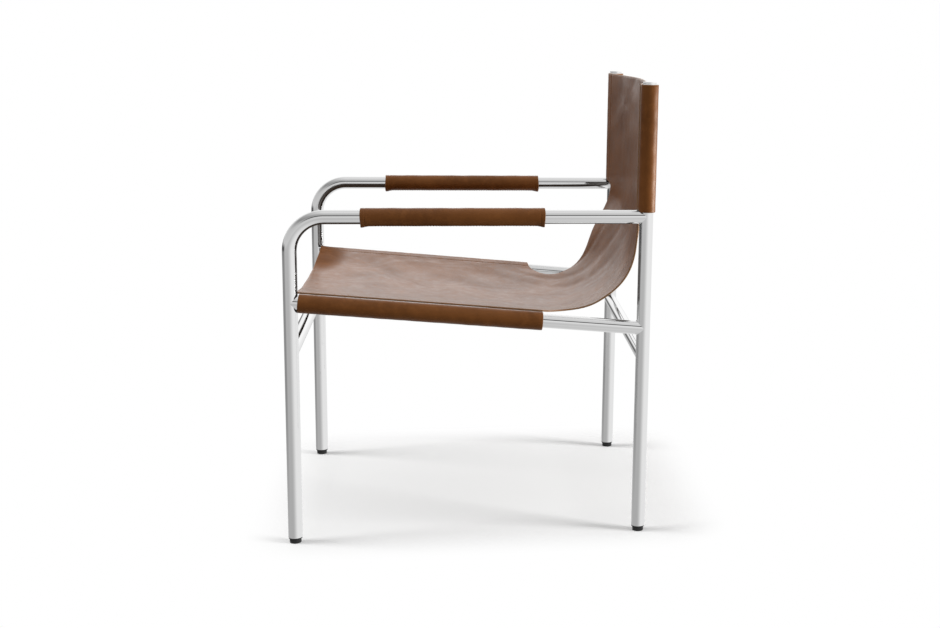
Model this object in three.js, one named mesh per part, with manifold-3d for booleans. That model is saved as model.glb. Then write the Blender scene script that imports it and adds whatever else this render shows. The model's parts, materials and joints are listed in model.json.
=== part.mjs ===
// Tubular steel sling armchair, in millimetres, +Z up, its front facing -Y.
//
// A welded, chromed frame of one tube size carries a single leather panel that makes both the seat and the back.
// Each side of the frame is a bent leg-and-arm tube, a straight rear upright and a sloping seat rail. Two crossbars
// join the sides. Leather sleeves wrap the rails and the uprights and are sewn under the panel's margins.
import * as THREE from 'three';
import { mergeVertices, toCreasedNormals } from 'three/addons/utils/BufferGeometryUtils.js';
import Module from 'manifold-3d';

const wasm = await Module();
wasm.setup();

const radians = THREE.MathUtils.degToRad;

// Steel frame
const TUBE_DIAMETER = 25;
const TUBE_WALL = 1.5;
const SIDE_SPACING = 540; // left tube axes to right tube axes
const LEG_SPACING = 618; // front leg axis to upright axis, at the floor
const ARM_HEIGHT = 588; // arm axis above the floor
const ARM_BEND_RADIUS = 60; // at the tube's axis
const UPRIGHT_LEAN = radians(0.66);
const UPRIGHT_TOP = 826.5; // end of the tube, under its cap
const RAIL_FRONT_HEIGHT = 437.5; // rail axis where it meets the front leg's axis
const RAIL_SLOPE = radians(4.95);
const FRONT_CROSSBAR_HEIGHT = 350;
const REAR_CROSSBAR_HEIGHT = 332;

// Plugs
const PLUG_CLEARANCE = 0.3; // shank to bore, on the radius
const CAP_THICKNESS = 3;
const CAP_EDGE = 0.8;
const CAP_SHANK = 16;
const GLIDE_HEIGHT = 10; // floor to the tube's end
const GLIDE_DIAMETER = 20.5;
const GLIDE_COLLAR_DIAMETER = 24;
const GLIDE_COLLAR = 1.6;
const GLIDE_EDGE = 1;
const GLIDE_SHANK = 22;

// Leather
const LEATHER = 3.2;
const SEAT_SLACK = 1.5; // looseness of the seat sleeves, on the diameter
const MARGIN_INSET = 15; // tube axis to the panel's cut edge
const SEAM_REACH = 36; // tube axis to the inner edge of a sleeve's seam
const SEAM_FLANGE = 11; // where a sleeve's two layers lie together
const SEAT_SLEEVE_START = 14; // front leg axis to the leather, along the rail
const SEAT_SLEEVE_LENGTH = 426;
const BACK_SLEEVE_OVERLAP = 3; // how far the back sleeves reach down beside the arm's top
const SLING_TOP = 824;
const ARM_SLEEVE_START = { left: 122, right: 142 }; // front leg axis to the leather, unequal in the photo
const ARM_SLEEVE_LENGTH = 320;
const ARM_SEAM_GAP = 1;

// Panel between the sleeves
const FRONT_SAG = 18;
const TOP_SAG = 34;
const PANEL_START = 6.5; // front leg axis to the panel's front edge, along the rail
const BEND_START = 458; // along the rail, from the front leg's axis
const BEND_SEAT_HANDLE = 142; // how far the seat's direction carries into the bend
const BEND_BACK_HANDLE = 12; // how far the back's direction carries into it
const NOTCH_DEPTH = 66;
const NOTCH_LEAD = 60; // seat sleeve's end to the deepest place of the cut-out
const NOTCH_TOP_DEPTH = 30; // under the back sleeve
const NOTCH_CLOSING = 12; // how far before the back sleeve the edge turns out to it

// Fits and facets
const CLEARANCE = 0.3; // between pieces that touch
const ARM_CUT_CLEARANCE = 0.6; // leather round the arm
const OVERRUN = 2; // cutters past what they cut
const TUBE_SIDES = 24;
const BEND_STEPS = 10;
const SLEEVE_SIDES = 24;
const PANEL_COLUMNS = 14;
const SEAT_ROWS = 6;
const NOTCH_ROWS = 8;
const CURVE_ROWS = 8;
const CLOSING_ROWS = 4;
const BACK_ROWS = 5;
const CREASE = radians(40);

const TUBE_RADIUS = TUBE_DIAMETER / 2;
const BORE_RADIUS = TUBE_RADIUS - TUBE_WALL;
const PLUG_RADIUS = BORE_RADIUS - PLUG_CLEARANCE;
const HALF_WIDTH = SIDE_SPACING / 2 - MARGIN_INSET;
const BACK_SLEEVE_BOTTOM = ARM_HEIGHT + TUBE_RADIUS - BACK_SLEEVE_OVERLAP;

const materials = {
  chrome: new THREE.MeshStandardMaterial({ color: 0xd9dbdd, metalness: 1, roughness: 0.12 }),
  leather: new THREE.MeshStandardMaterial({ color: 0x7a4a2a, metalness: 0, roughness: 0.55 }),
  plastic: new THREE.MeshStandardMaterial({ color: 0x141414, metalness: 0, roughness: 0.6 }),
};

// Directions and lines of one side of the frame, in the plane of its tubes

const alongRail = new THREE.Vector3(0, Math.cos(RAIL_SLOPE), -Math.sin(RAIL_SLOPE));
const aboveRail = new THREE.Vector3(0, Math.sin(RAIL_SLOPE), Math.cos(RAIL_SLOPE));
const alongUpright = new THREE.Vector3(0, Math.sin(UPRIGHT_LEAN), Math.cos(UPRIGHT_LEAN));
const beforeUpright = new THREE.Vector3(0, -Math.cos(UPRIGHT_LEAN), Math.sin(UPRIGHT_LEAN));

/** The point on the front leg's axis at a height above the floor. */
function frontLegPoint(height) {
  return new THREE.Vector3(0, 0, height);
}

/** The point on the upright's axis at a height above the floor. */
function uprightPoint(height) {
  return new THREE.Vector3(0, LEG_SPACING + height * Math.tan(UPRIGHT_LEAN), height);
}

/** The point on the seat rail's axis at a distance behind the front leg's axis. */
function railPoint(distance) {
  return frontLegPoint(RAIL_FRONT_HEIGHT).addScaledVector(alongRail, distance);
}

/** How far along the rail its axis meets the upright's. */
function railLength() {
  const height = (RAIL_FRONT_HEIGHT - LEG_SPACING * Math.tan(RAIL_SLOPE))
    / (1 + Math.tan(UPRIGHT_LEAN) * Math.tan(RAIL_SLOPE));
  return uprightPoint(height).distanceTo(railPoint(0));
}

// Geometry helpers

/** A geometry with only its positions, its shared vertices merged. */
function welded(geometry) {
  const bare = new THREE.BufferGeometry();
  bare.setAttribute('position', geometry.getAttribute('position'));
  bare.setIndex(geometry.getIndex());
  return mergeVertices(bare);
}

function toSolid(geometry) {
  const bare = welded(geometry);
  return new wasm.Manifold(new wasm.Mesh({
    numProp: 3,
    vertProperties: new Float32Array(bare.getAttribute('position').array),
    triVerts: new Uint32Array(bare.getIndex().array),
  }));
}

function toGeometry(solid) {
  const mesh = solid.getMesh();
  const geometry = new THREE.BufferGeometry();
  geometry.setAttribute('position', new THREE.BufferAttribute(mesh.vertProperties, 3));
  geometry.setIndex(new THREE.BufferAttribute(mesh.triVerts, 1));
  return geometry;
}

/** A geometry with the volumes of others cut out of it. */
function cut(geometry, ...cutters) {
  return toGeometry(cutters.reduce((solid, cutter) => solid.subtract(toSolid(cutter)), toSolid(geometry)));
}

/** The mirror image of a geometry across the YZ plane. */
function mirrored(geometry) {
  const mirror = welded(geometry).applyMatrix4(new THREE.Matrix4().makeScale(-1, 1, 1));
  const index = mirror.getIndex().array;
  for (let i = 0; i < index.length; i += 3) {
    [index[i], index[i + 1]] = [index[i + 1], index[i]];
  }
  return mirror;
}

/** A round outline, with a round hole where an inner radius is given. */
function ringShape(outer, inner = 0) {
  const shape = new THREE.Shape();
  shape.absarc(0, 0, outer, 0, 2 * Math.PI);
  if (inner > 0) {
    shape.holes.push(new THREE.Path().absarc(0, 0, inner, 0, 2 * Math.PI, true));
  }
  return shape;
}

/** A shape extruded from one point towards another. */
function extrudedBetween(shape, start, end, sides) {
  const length = start.distanceTo(end);
  const geometry = new THREE.ExtrudeGeometry(shape, {
    depth: length,
    bevelEnabled: false,
    curveSegments: sides / 2,
  });
  const direction = end.clone().sub(start).normalize();
  const turn = new THREE.Quaternion().setFromUnitVectors(new THREE.Vector3(0, 0, 1), direction);
  return geometry.applyQuaternion(turn).translate(start.x, start.y, start.z);
}

function straightTube(start, end) {
  return extrudedBetween(ringShape(TUBE_RADIUS, BORE_RADIUS), start, end, TUBE_SIDES);
}

/** A solid round bar that stands in for a tube and its clearance when another piece is cut to it. */
function tubeCutter(start, end, clearance = CLEARANCE) {
  const direction = end.clone().sub(start).normalize();
  return extrudedBetween(
    ringShape(TUBE_RADIUS + clearance),
    start.clone().addScaledVector(direction, -OVERRUN),
    end.clone().addScaledVector(direction, OVERRUN),
    TUBE_SIDES,
  );
}

/** Two straight runs joined by a round quarter bend. One step covers each straight run, the rest the bend. */
class QuarterBendPath extends THREE.Curve {
  constructor(start, corner, end, radius, bendSteps) {
    super();
    this.steps = bendSteps + 2;
    this.start = start;
    this.end = end;
    this.into = corner.clone().sub(start).normalize();
    this.outOf = end.clone().sub(corner).normalize();
    this.radius = radius;
    this.bendStart = corner.clone().addScaledVector(this.into, -radius);
    this.bendEnd = corner.clone().addScaledVector(this.outOf, radius);
    this.centre = this.bendStart.clone().addScaledVector(this.outOf, radius);
  }

  /** The bend's angle at a share of the path: none before the bend and a quarter turn after it. */
  bendAngle(share) {
    const turned = (share * this.steps - 1) / (this.steps - 2);
    return THREE.MathUtils.clamp(turned, 0, 1) * Math.PI / 2;
  }

  getPoint(share) {
    const step = share * this.steps;
    if (step <= 1) {
      return this.start.clone().lerp(this.bendStart, step);
    }
    if (step >= this.steps - 1) {
      return this.bendEnd.clone().lerp(this.end, step - this.steps + 1);
    }
    const angle = this.bendAngle(share);
    return this.centre.clone()
      .addScaledVector(this.outOf, -this.radius * Math.cos(angle))
      .addScaledVector(this.into, this.radius * Math.sin(angle));
  }

  getTangent(share) {
    const angle = this.bendAngle(share);
    return this.into.clone().multiplyScalar(Math.cos(angle)).addScaledVector(this.outOf, Math.sin(angle));
  }

  /** Keeps the steps where they are, instead of spreading them evenly over the length. */
  getUtoTmapping(share) {
    return share;
  }
}

/** A round plug turned from half its outline, its axis along +Z. */
function turned(profile) {
  const points = profile.map(([radius, height]) => new THREE.Vector2(radius, height));
  return new THREE.LatheGeometry(points, TUBE_SIDES).rotateX(Math.PI / 2);
}

// Frame pieces of one side

const armEnd = uprightPoint(ARM_HEIGHT);
const uprightTop = uprightPoint(UPRIGHT_TOP);
const tubeStart = GLIDE_HEIGHT + CLEARANCE;
const uprightCutter = tubeCutter(uprightPoint(0), uprightTop);
const frontLegCutter = tubeCutter(frontLegPoint(0), frontLegPoint(ARM_HEIGHT - ARM_BEND_RADIUS));

/** Front leg, bend and arm in one tube, coped to the upright. */
function legArmTube() {
  const path = new QuarterBendPath(
    frontLegPoint(tubeStart),
    frontLegPoint(ARM_HEIGHT),
    armEnd,
    ARM_BEND_RADIUS,
    BEND_STEPS,
  );
  const tube = new THREE.ExtrudeGeometry(ringShape(TUBE_RADIUS, BORE_RADIUS), {
    steps: path.steps,
    extrudePath: path,
    curveSegments: TUBE_SIDES / 2,
  });
  return cut(tube, uprightCutter);
}

function uprightTube() {
  return straightTube(uprightPoint(tubeStart), uprightTop);
}

/** Seat rail, coped to the front leg and to the upright. */
function seatRail() {
  const rail = straightTube(railPoint(0), railPoint(railLength()));
  return cut(rail, frontLegCutter, uprightCutter);
}

/** Flat cap whose shank sits in the top of the upright. Its origin is the tube's end. */
function uprightCap() {
  return turned([
    [0, -CAP_SHANK],
    [PLUG_RADIUS, -CAP_SHANK],
    [PLUG_RADIUS, CLEARANCE],
    [TUBE_RADIUS, CLEARANCE],
    [TUBE_RADIUS, CAP_THICKNESS - CAP_EDGE],
    [TUBE_RADIUS - CAP_EDGE, CAP_THICKNESS],
    [0, CAP_THICKNESS],
  ]);
}

/** Plug under a leg that leans by an angle, its foot cut level with the floor. Its origin is on the floor. */
function legGlide(lean) {
  const footRadius = GLIDE_DIAMETER / 2;
  const collarRadius = GLIDE_COLLAR_DIAMETER / 2;
  const plug = turned([
    [0, -GLIDE_EDGE],
    [footRadius - GLIDE_EDGE, -GLIDE_EDGE],
    [footRadius - GLIDE_EDGE, 0],
    [footRadius, GLIDE_EDGE],
    [footRadius, GLIDE_HEIGHT - GLIDE_COLLAR],
    [collarRadius, GLIDE_HEIGHT - GLIDE_COLLAR],
    [collarRadius, GLIDE_HEIGHT],
    [PLUG_RADIUS, GLIDE_HEIGHT],
    [PLUG_RADIUS, GLIDE_HEIGHT + GLIDE_SHANK - GLIDE_EDGE],
    [PLUG_RADIUS - GLIDE_EDGE, GLIDE_HEIGHT + GLIDE_SHANK],
    [0, GLIDE_HEIGHT + GLIDE_SHANK],
  ]).rotateX(-lean);
  const belowFloor = new THREE.BoxGeometry(TUBE_DIAMETER, TUBE_DIAMETER, OVERRUN)
    .translate(0, 0, -OVERRUN / 2);
  return cut(plug, belowFloor);
}

// Leather sleeves, drawn for the right side, whose inboard direction is +X

/** How steeply the panel leaves its sleeves where it sags by a given amount. */
function marginSlope(sag) {
  return Math.atan(2 * sag / HALF_WIDTH);
}

/**
 * Sizes of a sling sleeve's section: it wraps a tube and runs inboard as a two-layer seam under the panel.
 * Its top lies parallel to the panel's margin.
 */
function sleeveSection(slack, slope) {
  const inner = TUBE_RADIUS + CLEARANCE + slack / 2;
  return { slope, drop: slack / 2, inner, outer: inner + LEATHER };
}

/** Height above the tube's axis of the panel's middle surface at its cut edge. */
function panelLift({ slope, drop, outer }) {
  const normalDistance = outer + CLEARANCE + LEATHER / 2 - MARGIN_INSET * Math.sin(slope);
  return normalDistance / Math.cos(slope) - drop;
}

/** The point on a section's upper tangent line at an inboard reach, for a given radius. */
function tangentPoint({ slope, drop }, radius, reach) {
  return new THREE.Vector2(reach, (radius - reach * Math.sin(slope)) / Math.cos(slope) - drop);
}

/** The angle at which a line from an outside point touches the underside of a circle. */
function undersideAngle(point, centre, radius) {
  const toPoint = point.clone().sub(centre);
  return Math.atan2(toPoint.y, toPoint.x) - Math.acos(radius / toPoint.length());
}

/** Draws a teardrop: the arc round the tube, then its apex, or the lower and upper corners of a blunt one. */
function teardrop(path, section, radius, corners) {
  const centre = new THREE.Vector2(0, -section.drop);
  const underside = undersideAngle(corners[0], centre, radius);
  path.absarc(centre.x, centre.y, radius, Math.PI / 2 - section.slope, underside);
  corners.forEach((corner) => path.lineTo(corner.x, corner.y));
  path.closePath();
  return path;
}

function sleeveShape(section) {
  const top = tangentPoint(section, section.outer, SEAM_REACH);
  const inwards = new THREE.Vector2(-Math.sin(section.slope), -Math.cos(section.slope));
  const blunt = [top.clone().addScaledVector(inwards, 2 * LEATHER), top];
  const apex = tangentPoint(section, section.inner, SEAM_REACH - SEAM_FLANGE);
  const shape = teardrop(new THREE.Shape(), section, section.outer, blunt);
  shape.holes.push(teardrop(new THREE.Path(), section, section.inner, [apex]));
  return shape;
}

/** A sleeve whose section stands square to the way the panel runs and faces the sitter. */
function slingSleeve(section, end, alongPanel, towardsSitter, length) {
  const geometry = new THREE.ExtrudeGeometry(sleeveShape(section), {
    depth: length,
    bevelEnabled: false,
    curveSegments: SLEEVE_SIDES / 2,
  });
  const inboard = new THREE.Vector3(1, 0, 0);
  const placement = new THREE.Matrix4()
    .makeBasis(inboard, towardsSitter, alongPanel.clone().negate())
    .setPosition(end);
  return geometry.applyMatrix4(placement);
}

/** Leather wrapped round the arm, its two edges brought together under the tube. */
function armSleeve() {
  const inner = TUBE_RADIUS + CLEARANCE;
  const outer = inner + LEATHER;
  const innerGap = Math.asin(ARM_SEAM_GAP / 2 / inner);
  const outerGap = Math.asin(ARM_SEAM_GAP / 2 / outer);
  const under = -Math.PI / 2;
  const shape = new THREE.Shape();
  shape.absarc(0, 0, outer, under + outerGap, under - outerGap + 2 * Math.PI);
  shape.absarc(0, 0, inner, under - innerGap + 2 * Math.PI, under + innerGap, true);
  shape.closePath();
  const geometry = new THREE.ExtrudeGeometry(shape, {
    depth: ARM_SLEEVE_LENGTH,
    bevelEnabled: false,
    curveSegments: SLEEVE_SIDES / 2,
  });
  return geometry.rotateX(Math.PI / 2);
}

// The sling's panel

const backSection = sleeveSection(0, marginSlope(TOP_SAG));
const seatSection = sleeveSection(SEAT_SLACK, marginSlope((FRONT_SAG + TOP_SAG) / 2));
const seatSleeveEnd = SEAT_SLEEVE_START + SEAT_SLEEVE_LENGTH;
const notchStart = seatSleeveEnd - PANEL_START; // along the panel
const notchDeepest = notchStart + NOTCH_LEAD;

/** The line that the panel's edges follow from the seat's front to the back's top, in the side plane. */
function panelPath() {
  const seatLift = panelLift(seatSection);
  const backLift = panelLift(backSection);
  const onSeat = (distance) => railPoint(distance).addScaledVector(aboveRail, seatLift);
  const onBack = (height) => uprightPoint(height).addScaledVector(beforeUpright, backLift);
  const bendStart = onSeat(BEND_START);
  const bendEnd = onBack(BACK_SLEEVE_BOTTOM);
  const path = new THREE.CurvePath();
  path.add(new THREE.LineCurve3(onSeat(PANEL_START), bendStart));
  path.add(new THREE.CubicBezierCurve3(
    bendStart,
    bendStart.clone().addScaledVector(alongRail, BEND_SEAT_HANDLE),
    bendEnd.clone().addScaledVector(alongUpright, -BEND_BACK_HANDLE),
    bendEnd,
  ));
  path.add(new THREE.LineCurve3(bendEnd, onBack(SLING_TOP)));
  return path;
}

/** How far along its path the panel reaches the back sleeves. */
function backStartOf(path) {
  return path.getLength() - path.curves.at(-1).getLength();
}

/** The distances along the panel at which it gets a row of vertices, closest where the cut-out turns. */
function panelStations(path) {
  const backStart = backStartOf(path);
  const runs = [
    { from: 0, to: notchStart, rows: SEAT_ROWS },
    { from: notchStart, to: notchDeepest, rows: NOTCH_ROWS, easing: (share) => 1 - Math.cos(share * Math.PI / 2) },
    { from: notchDeepest, to: backStart - NOTCH_CLOSING, rows: CURVE_ROWS },
    {
      from: backStart - NOTCH_CLOSING,
      to: backStart,
      rows: CLOSING_ROWS,
      easing: (share) => Math.sin(share * Math.PI / 2),
    },
    { from: backStart, to: path.getLength(), rows: BACK_ROWS },
  ];
  const stations = [0];
  for (const { from, to, rows, easing = (share) => share } of runs) {
    for (let row = 1; row <= rows; row += 1) {
      stations.push(THREE.MathUtils.lerp(from, to, easing(row / rows)));
    }
  }
  return stations;
}

/**
 * Half the panel's width at a distance along it: full along the sleeves. Between them the edge is cut out, first
 * round to the deepest place, then straight towards the back, and at last round again out to the back sleeve.
 */
function halfWidthAt(distance, backStart) {
  if (distance <= notchStart || distance >= backStart) {
    return HALF_WIDTH;
  }
  if (distance < notchDeepest) {
    return HALF_WIDTH - NOTCH_DEPTH * Math.sqrt(1 - ((notchDeepest - distance) / NOTCH_LEAD) ** 2);
  }
  const share = (distance - notchDeepest) / (backStart - notchDeepest);
  const open = THREE.MathUtils.lerp(NOTCH_DEPTH, NOTCH_TOP_DEPTH, share);
  const closed = Math.max(1 - (backStart - distance) / NOTCH_CLOSING, 0);
  return HALF_WIDTH - open * Math.sqrt(1 - closed ** 2);
}

/** The panel: rows of points on its two faces, joined into one closed skin. */
function slingPanel() {
  const path = panelPath();
  const length = path.getLength();
  const backStart = backStartOf(path);
  const positions = [];
  for (const distance of panelStations(path)) {
    const share = distance / length;
    const edge = path.getPointAt(share);
    const along = path.getTangentAt(share);
    const facing = new THREE.Vector3(0, -along.z, along.y);
    const halfWidth = halfWidthAt(distance, backStart);
    const sag = THREE.MathUtils.lerp(FRONT_SAG, TOP_SAG, share);
    const row = (side) => {
      for (let column = 0; column <= PANEL_COLUMNS; column += 1) {
        const x = side * halfWidth * (2 * column / PANEL_COLUMNS - 1);
        const depth = sag * (1 - (x / HALF_WIDTH) ** 2);
        const tilt = Math.atan(-2 * sag * x / HALF_WIDTH ** 2);
        const point = edge.clone().addScaledVector(facing, -depth + side * Math.cos(tilt) * LEATHER / 2);
        positions.push(x + side * Math.sin(tilt) * LEATHER / 2, point.y, point.z);
      }
    };
    row(1);
    row(-1);
  }
  return loftedRows(positions, 2 * (PANEL_COLUMNS + 1));
}

/** A closed skin over rings of points that each run along an upper face and back along a lower one. */
function loftedRows(positions, ring) {
  const rings = positions.length / 3 / ring;
  const triangles = [];
  const quad = (a, b, c, d) => triangles.push(a, b, c, a, c, d);
  for (let i = 0; i < rings - 1; i += 1) {
    for (let j = 0; j < ring; j += 1) {
      const next = (j + 1) % ring;
      quad(i * ring + j, i * ring + next, (i + 1) * ring + next, (i + 1) * ring + j);
    }
  }
  const last = (rings - 1) * ring;
  for (let j = 0; j < ring / 2 - 1; j += 1) {
    quad(j, ring - 1 - j, ring - 2 - j, j + 1);
    quad(last + j, last + j + 1, last + ring - 2 - j, last + ring - 1 - j);
  }
  const geometry = new THREE.BufferGeometry();
  geometry.setAttribute('position', new THREE.Float32BufferAttribute(positions, 3));
  geometry.setIndex(triangles);
  return geometry;
}

// Assembly

function piece(name, geometry, material) {
  const mesh = new THREE.Mesh(toCreasedNormals(welded(geometry), CREASE), material);
  mesh.name = name;
  return mesh;
}

/** Everything that a side of the chair has, in the plane of its tubes. */
function chairSide(name, isLeft) {
  const side = new THREE.Group();
  const handed = (geometry) => (isLeft ? mirrored(geometry) : geometry);

  side.add(piece(`${name}_front_leg_arm_tube`, legArmTube(), materials.chrome));
  side.add(piece(`${name}_rear_upright_tube`, uprightTube(), materials.chrome));
  side.add(piece(`${name}_seat_rail`, seatRail(), materials.chrome));

  const cap = piece(`${name}_upright_cap`, uprightCap(), materials.chrome);
  cap.position.copy(uprightTop);
  cap.rotation.x = -UPRIGHT_LEAN;
  side.add(cap);

  const frontGlide = piece(`${name}_front_glide`, legGlide(0), materials.plastic);
  const rearGlide = piece(`${name}_rear_glide`, legGlide(UPRIGHT_LEAN), materials.plastic);
  rearGlide.position.copy(uprightPoint(0));
  side.add(frontGlide, rearGlide);

  const seatSleeve = slingSleeve(
    seatSection, railPoint(seatSleeveEnd), alongRail, aboveRail, SEAT_SLEEVE_LENGTH,
  );
  side.add(piece(`${name}_seat_sleeve`, handed(seatSleeve), materials.leather));

  const backTop = uprightPoint(SLING_TOP);
  const backLength = backTop.distanceTo(uprightPoint(BACK_SLEEVE_BOTTOM));
  const wholeBackSleeve = slingSleeve(backSection, backTop, alongUpright, beforeUpright, backLength);
  const armCutter = tubeCutter(frontLegPoint(ARM_HEIGHT), armEnd, ARM_CUT_CLEARANCE);
  side.add(piece(`${name}_back_sleeve`, handed(cut(wholeBackSleeve, armCutter)), materials.leather));

  const arm = piece(`${name}_arm_sleeve`, armSleeve(), materials.leather);
  arm.position.set(0, ARM_SLEEVE_START[name] + ARM_SLEEVE_LENGTH, ARM_HEIGHT);
  side.add(arm);

  side.position.x = (isLeft ? 1 : -1) * SIDE_SPACING / 2;
  return side;
}

/** A straight tube from side to side, coped to the two tubes that it joins. */
function crossbar(name, pointOnSide, lowEnd, highEnd) {
  const toSide = (point, sign) => point.clone().setX(sign * SIDE_SPACING / 2);
  const bar = straightTube(toSide(pointOnSide, -1), toSide(pointOnSide, 1));
  const cutters = [-1, 1].map((sign) => tubeCutter(toSide(lowEnd, sign), toSide(highEnd, sign)));
  return piece(name, cut(bar, ...cutters), materials.chrome);
}

/** Puts the middle of the chair's depth, from the front legs to the panel's rear face, on the origin. */
function middleOfDepth() {
  const backMiddle = uprightPoint(SLING_TOP)
    .addScaledVector(beforeUpright, panelLift(backSection) - TOP_SAG - LEATHER / 2);
  return (backMiddle.y - TUBE_RADIUS) / 2;
}

const chair = new THREE.Group();
chair.add(chairSide('left', true), chairSide('right', false));
chair.add(crossbar(
  'front_crossbar', frontLegPoint(FRONT_CROSSBAR_HEIGHT), frontLegPoint(0), frontLegPoint(RAIL_FRONT_HEIGHT),
));
chair.add(crossbar(
  'rear_crossbar', uprightPoint(REAR_CROSSBAR_HEIGHT), uprightPoint(0), uprightPoint(RAIL_FRONT_HEIGHT),
));
chair.add(piece('sling_panel', slingPanel(), materials.leather));
chair.position.y = -middleOfDepth();

export default chair;
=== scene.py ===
"""Sling armchair: a frame of bright chromed steel tube with seat, back and arms in tan saddle leather.

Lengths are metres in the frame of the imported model: +Z up, the seat's front towards -Y, +X towards the
sitter's left, the floor at Z = 0. Every new piece is a closed surface worked out on a grid, and stands for
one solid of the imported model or, like the sewing thread, is added to it.
"""
import json
import logging
import math
from dataclasses import dataclass, field
from enum import Enum

import bpy
import numpy as np
from mathutils import Matrix, Vector

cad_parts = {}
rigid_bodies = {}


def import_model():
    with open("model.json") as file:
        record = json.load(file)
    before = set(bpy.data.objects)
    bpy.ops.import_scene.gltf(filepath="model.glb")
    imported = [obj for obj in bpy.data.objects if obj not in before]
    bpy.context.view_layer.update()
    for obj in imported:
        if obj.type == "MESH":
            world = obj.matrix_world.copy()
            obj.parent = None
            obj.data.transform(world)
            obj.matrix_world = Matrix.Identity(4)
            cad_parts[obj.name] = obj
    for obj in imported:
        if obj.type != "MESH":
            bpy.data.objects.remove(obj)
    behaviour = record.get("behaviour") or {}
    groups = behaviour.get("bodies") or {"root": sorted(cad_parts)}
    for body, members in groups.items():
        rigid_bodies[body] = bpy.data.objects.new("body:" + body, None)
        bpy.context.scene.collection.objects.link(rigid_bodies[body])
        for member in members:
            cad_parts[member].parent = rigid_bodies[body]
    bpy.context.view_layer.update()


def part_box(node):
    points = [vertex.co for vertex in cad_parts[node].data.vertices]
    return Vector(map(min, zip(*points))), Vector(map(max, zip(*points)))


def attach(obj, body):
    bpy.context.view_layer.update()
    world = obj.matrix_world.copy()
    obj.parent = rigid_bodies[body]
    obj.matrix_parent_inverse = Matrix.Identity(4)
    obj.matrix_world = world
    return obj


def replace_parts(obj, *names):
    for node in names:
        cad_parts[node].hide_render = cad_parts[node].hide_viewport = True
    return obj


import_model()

BODY = "root"
MM = 0.001
TURN = 2 * math.pi
ACROSS, REARWARDS, UPWARDS = np.eye(3)

Array = np.ndarray
Point = tuple[float, float, float]
Stops = tuple[tuple[float, float], ...]
Material = bpy.types.Material
Socket = bpy.types.NodeSocket
Tree = bpy.types.NodeTree

log = logging.getLogger("sling_armchair")


class Side(Enum):
    """The two sides of the chair, as the sitter names them, with the sign of their X."""

    LEFT = 1
    RIGHT = -1

    @property
    def word(self) -> str:
        """The side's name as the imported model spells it."""
        return self.name.lower()


class Slot(Enum):
    """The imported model's material slots."""

    CHROME = "chromed_steel"
    LEATHER = "saddle_leather"
    PLASTIC = "black_plastic"


# Surfaces


def unit(vectors: Array) -> Array:
    """Vectors brought to length one, along the last axis."""
    return vectors / np.linalg.norm(vectors, axis=-1, keepdims=True)


def smooth_step(values: Array, low: float, high: float) -> Array:
    """Rises smoothly from 0 at low to 1 at high: 3t^2 - 2t^3 of the clipped share t."""
    share = np.clip((values - low) / (high - low), 0, 1)
    return share * share * (3 - 2 * share)


def bump(values: Array, centre: float, width: float) -> Array:
    """A smooth hill of height 1 at the centre: exp of minus the squared distance in widths."""
    return np.exp(-((values - centre) / width) ** 2)


def sine_wave(distance: Array, length: float, phase: Array | float) -> Array:
    """A wave of height 1: the sine of a whole turn for each length, plus the phase."""
    return np.sin(distance / length * TURN + phase)


def round_angles(sides: int) -> Array:
    """Angles spread evenly round a circle, from 0."""
    return np.arange(sides) * TURN / sides


def spokes(sides: int, first: Array, second: Array) -> Array:
    """Directions round a circle, for each angle its cosine along one axis plus its sine along another."""
    angle = round_angles(sides)[:, None]
    return np.cos(angle) * first + np.sin(angle) * second


def distances_along(points: Array) -> Array:
    """How far along its line each point lies: the running sum of the steps' lengths."""
    return np.concatenate([[0], np.cumsum(np.linalg.norm(np.diff(points, axis=0), axis=-1))])


def grid_quads(rows: int, columns: int, close_rows: bool = False, close_columns: bool = False) -> Array:
    """The quads between the points of a grid that is numbered row by row.

    Args:
        rows: How many rows the grid has.
        columns: How many points each row has.
        close_rows: Whether the last row joins the first.
        close_columns: Whether each row's end joins its start.

    Returns:
        An array of four point numbers for each quad.
    """
    row, column = np.meshgrid(
        np.arange(rows if close_rows else rows - 1),
        np.arange(columns if close_columns else columns - 1),
        indexing="ij",
    )
    below, beside = (row + 1) % rows, (column + 1) % columns
    upper, lower = row * columns, below * columns
    corners = [upper + column, lower + column, lower + beside, upper + beside]
    return np.stack(corners, axis=-1).reshape(-1, 4)


def enclosed_volume(points: Array, quads: Array) -> float:
    """The volume inside a closed skin of quads: a sixth of the sum of its triangles' triple products."""
    a, b, c, d = (points[quads[:, corner]] for corner in range(4))
    return float(np.sum(np.cross(a, b) * c + np.cross(a, c) * d) / 6)


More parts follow.
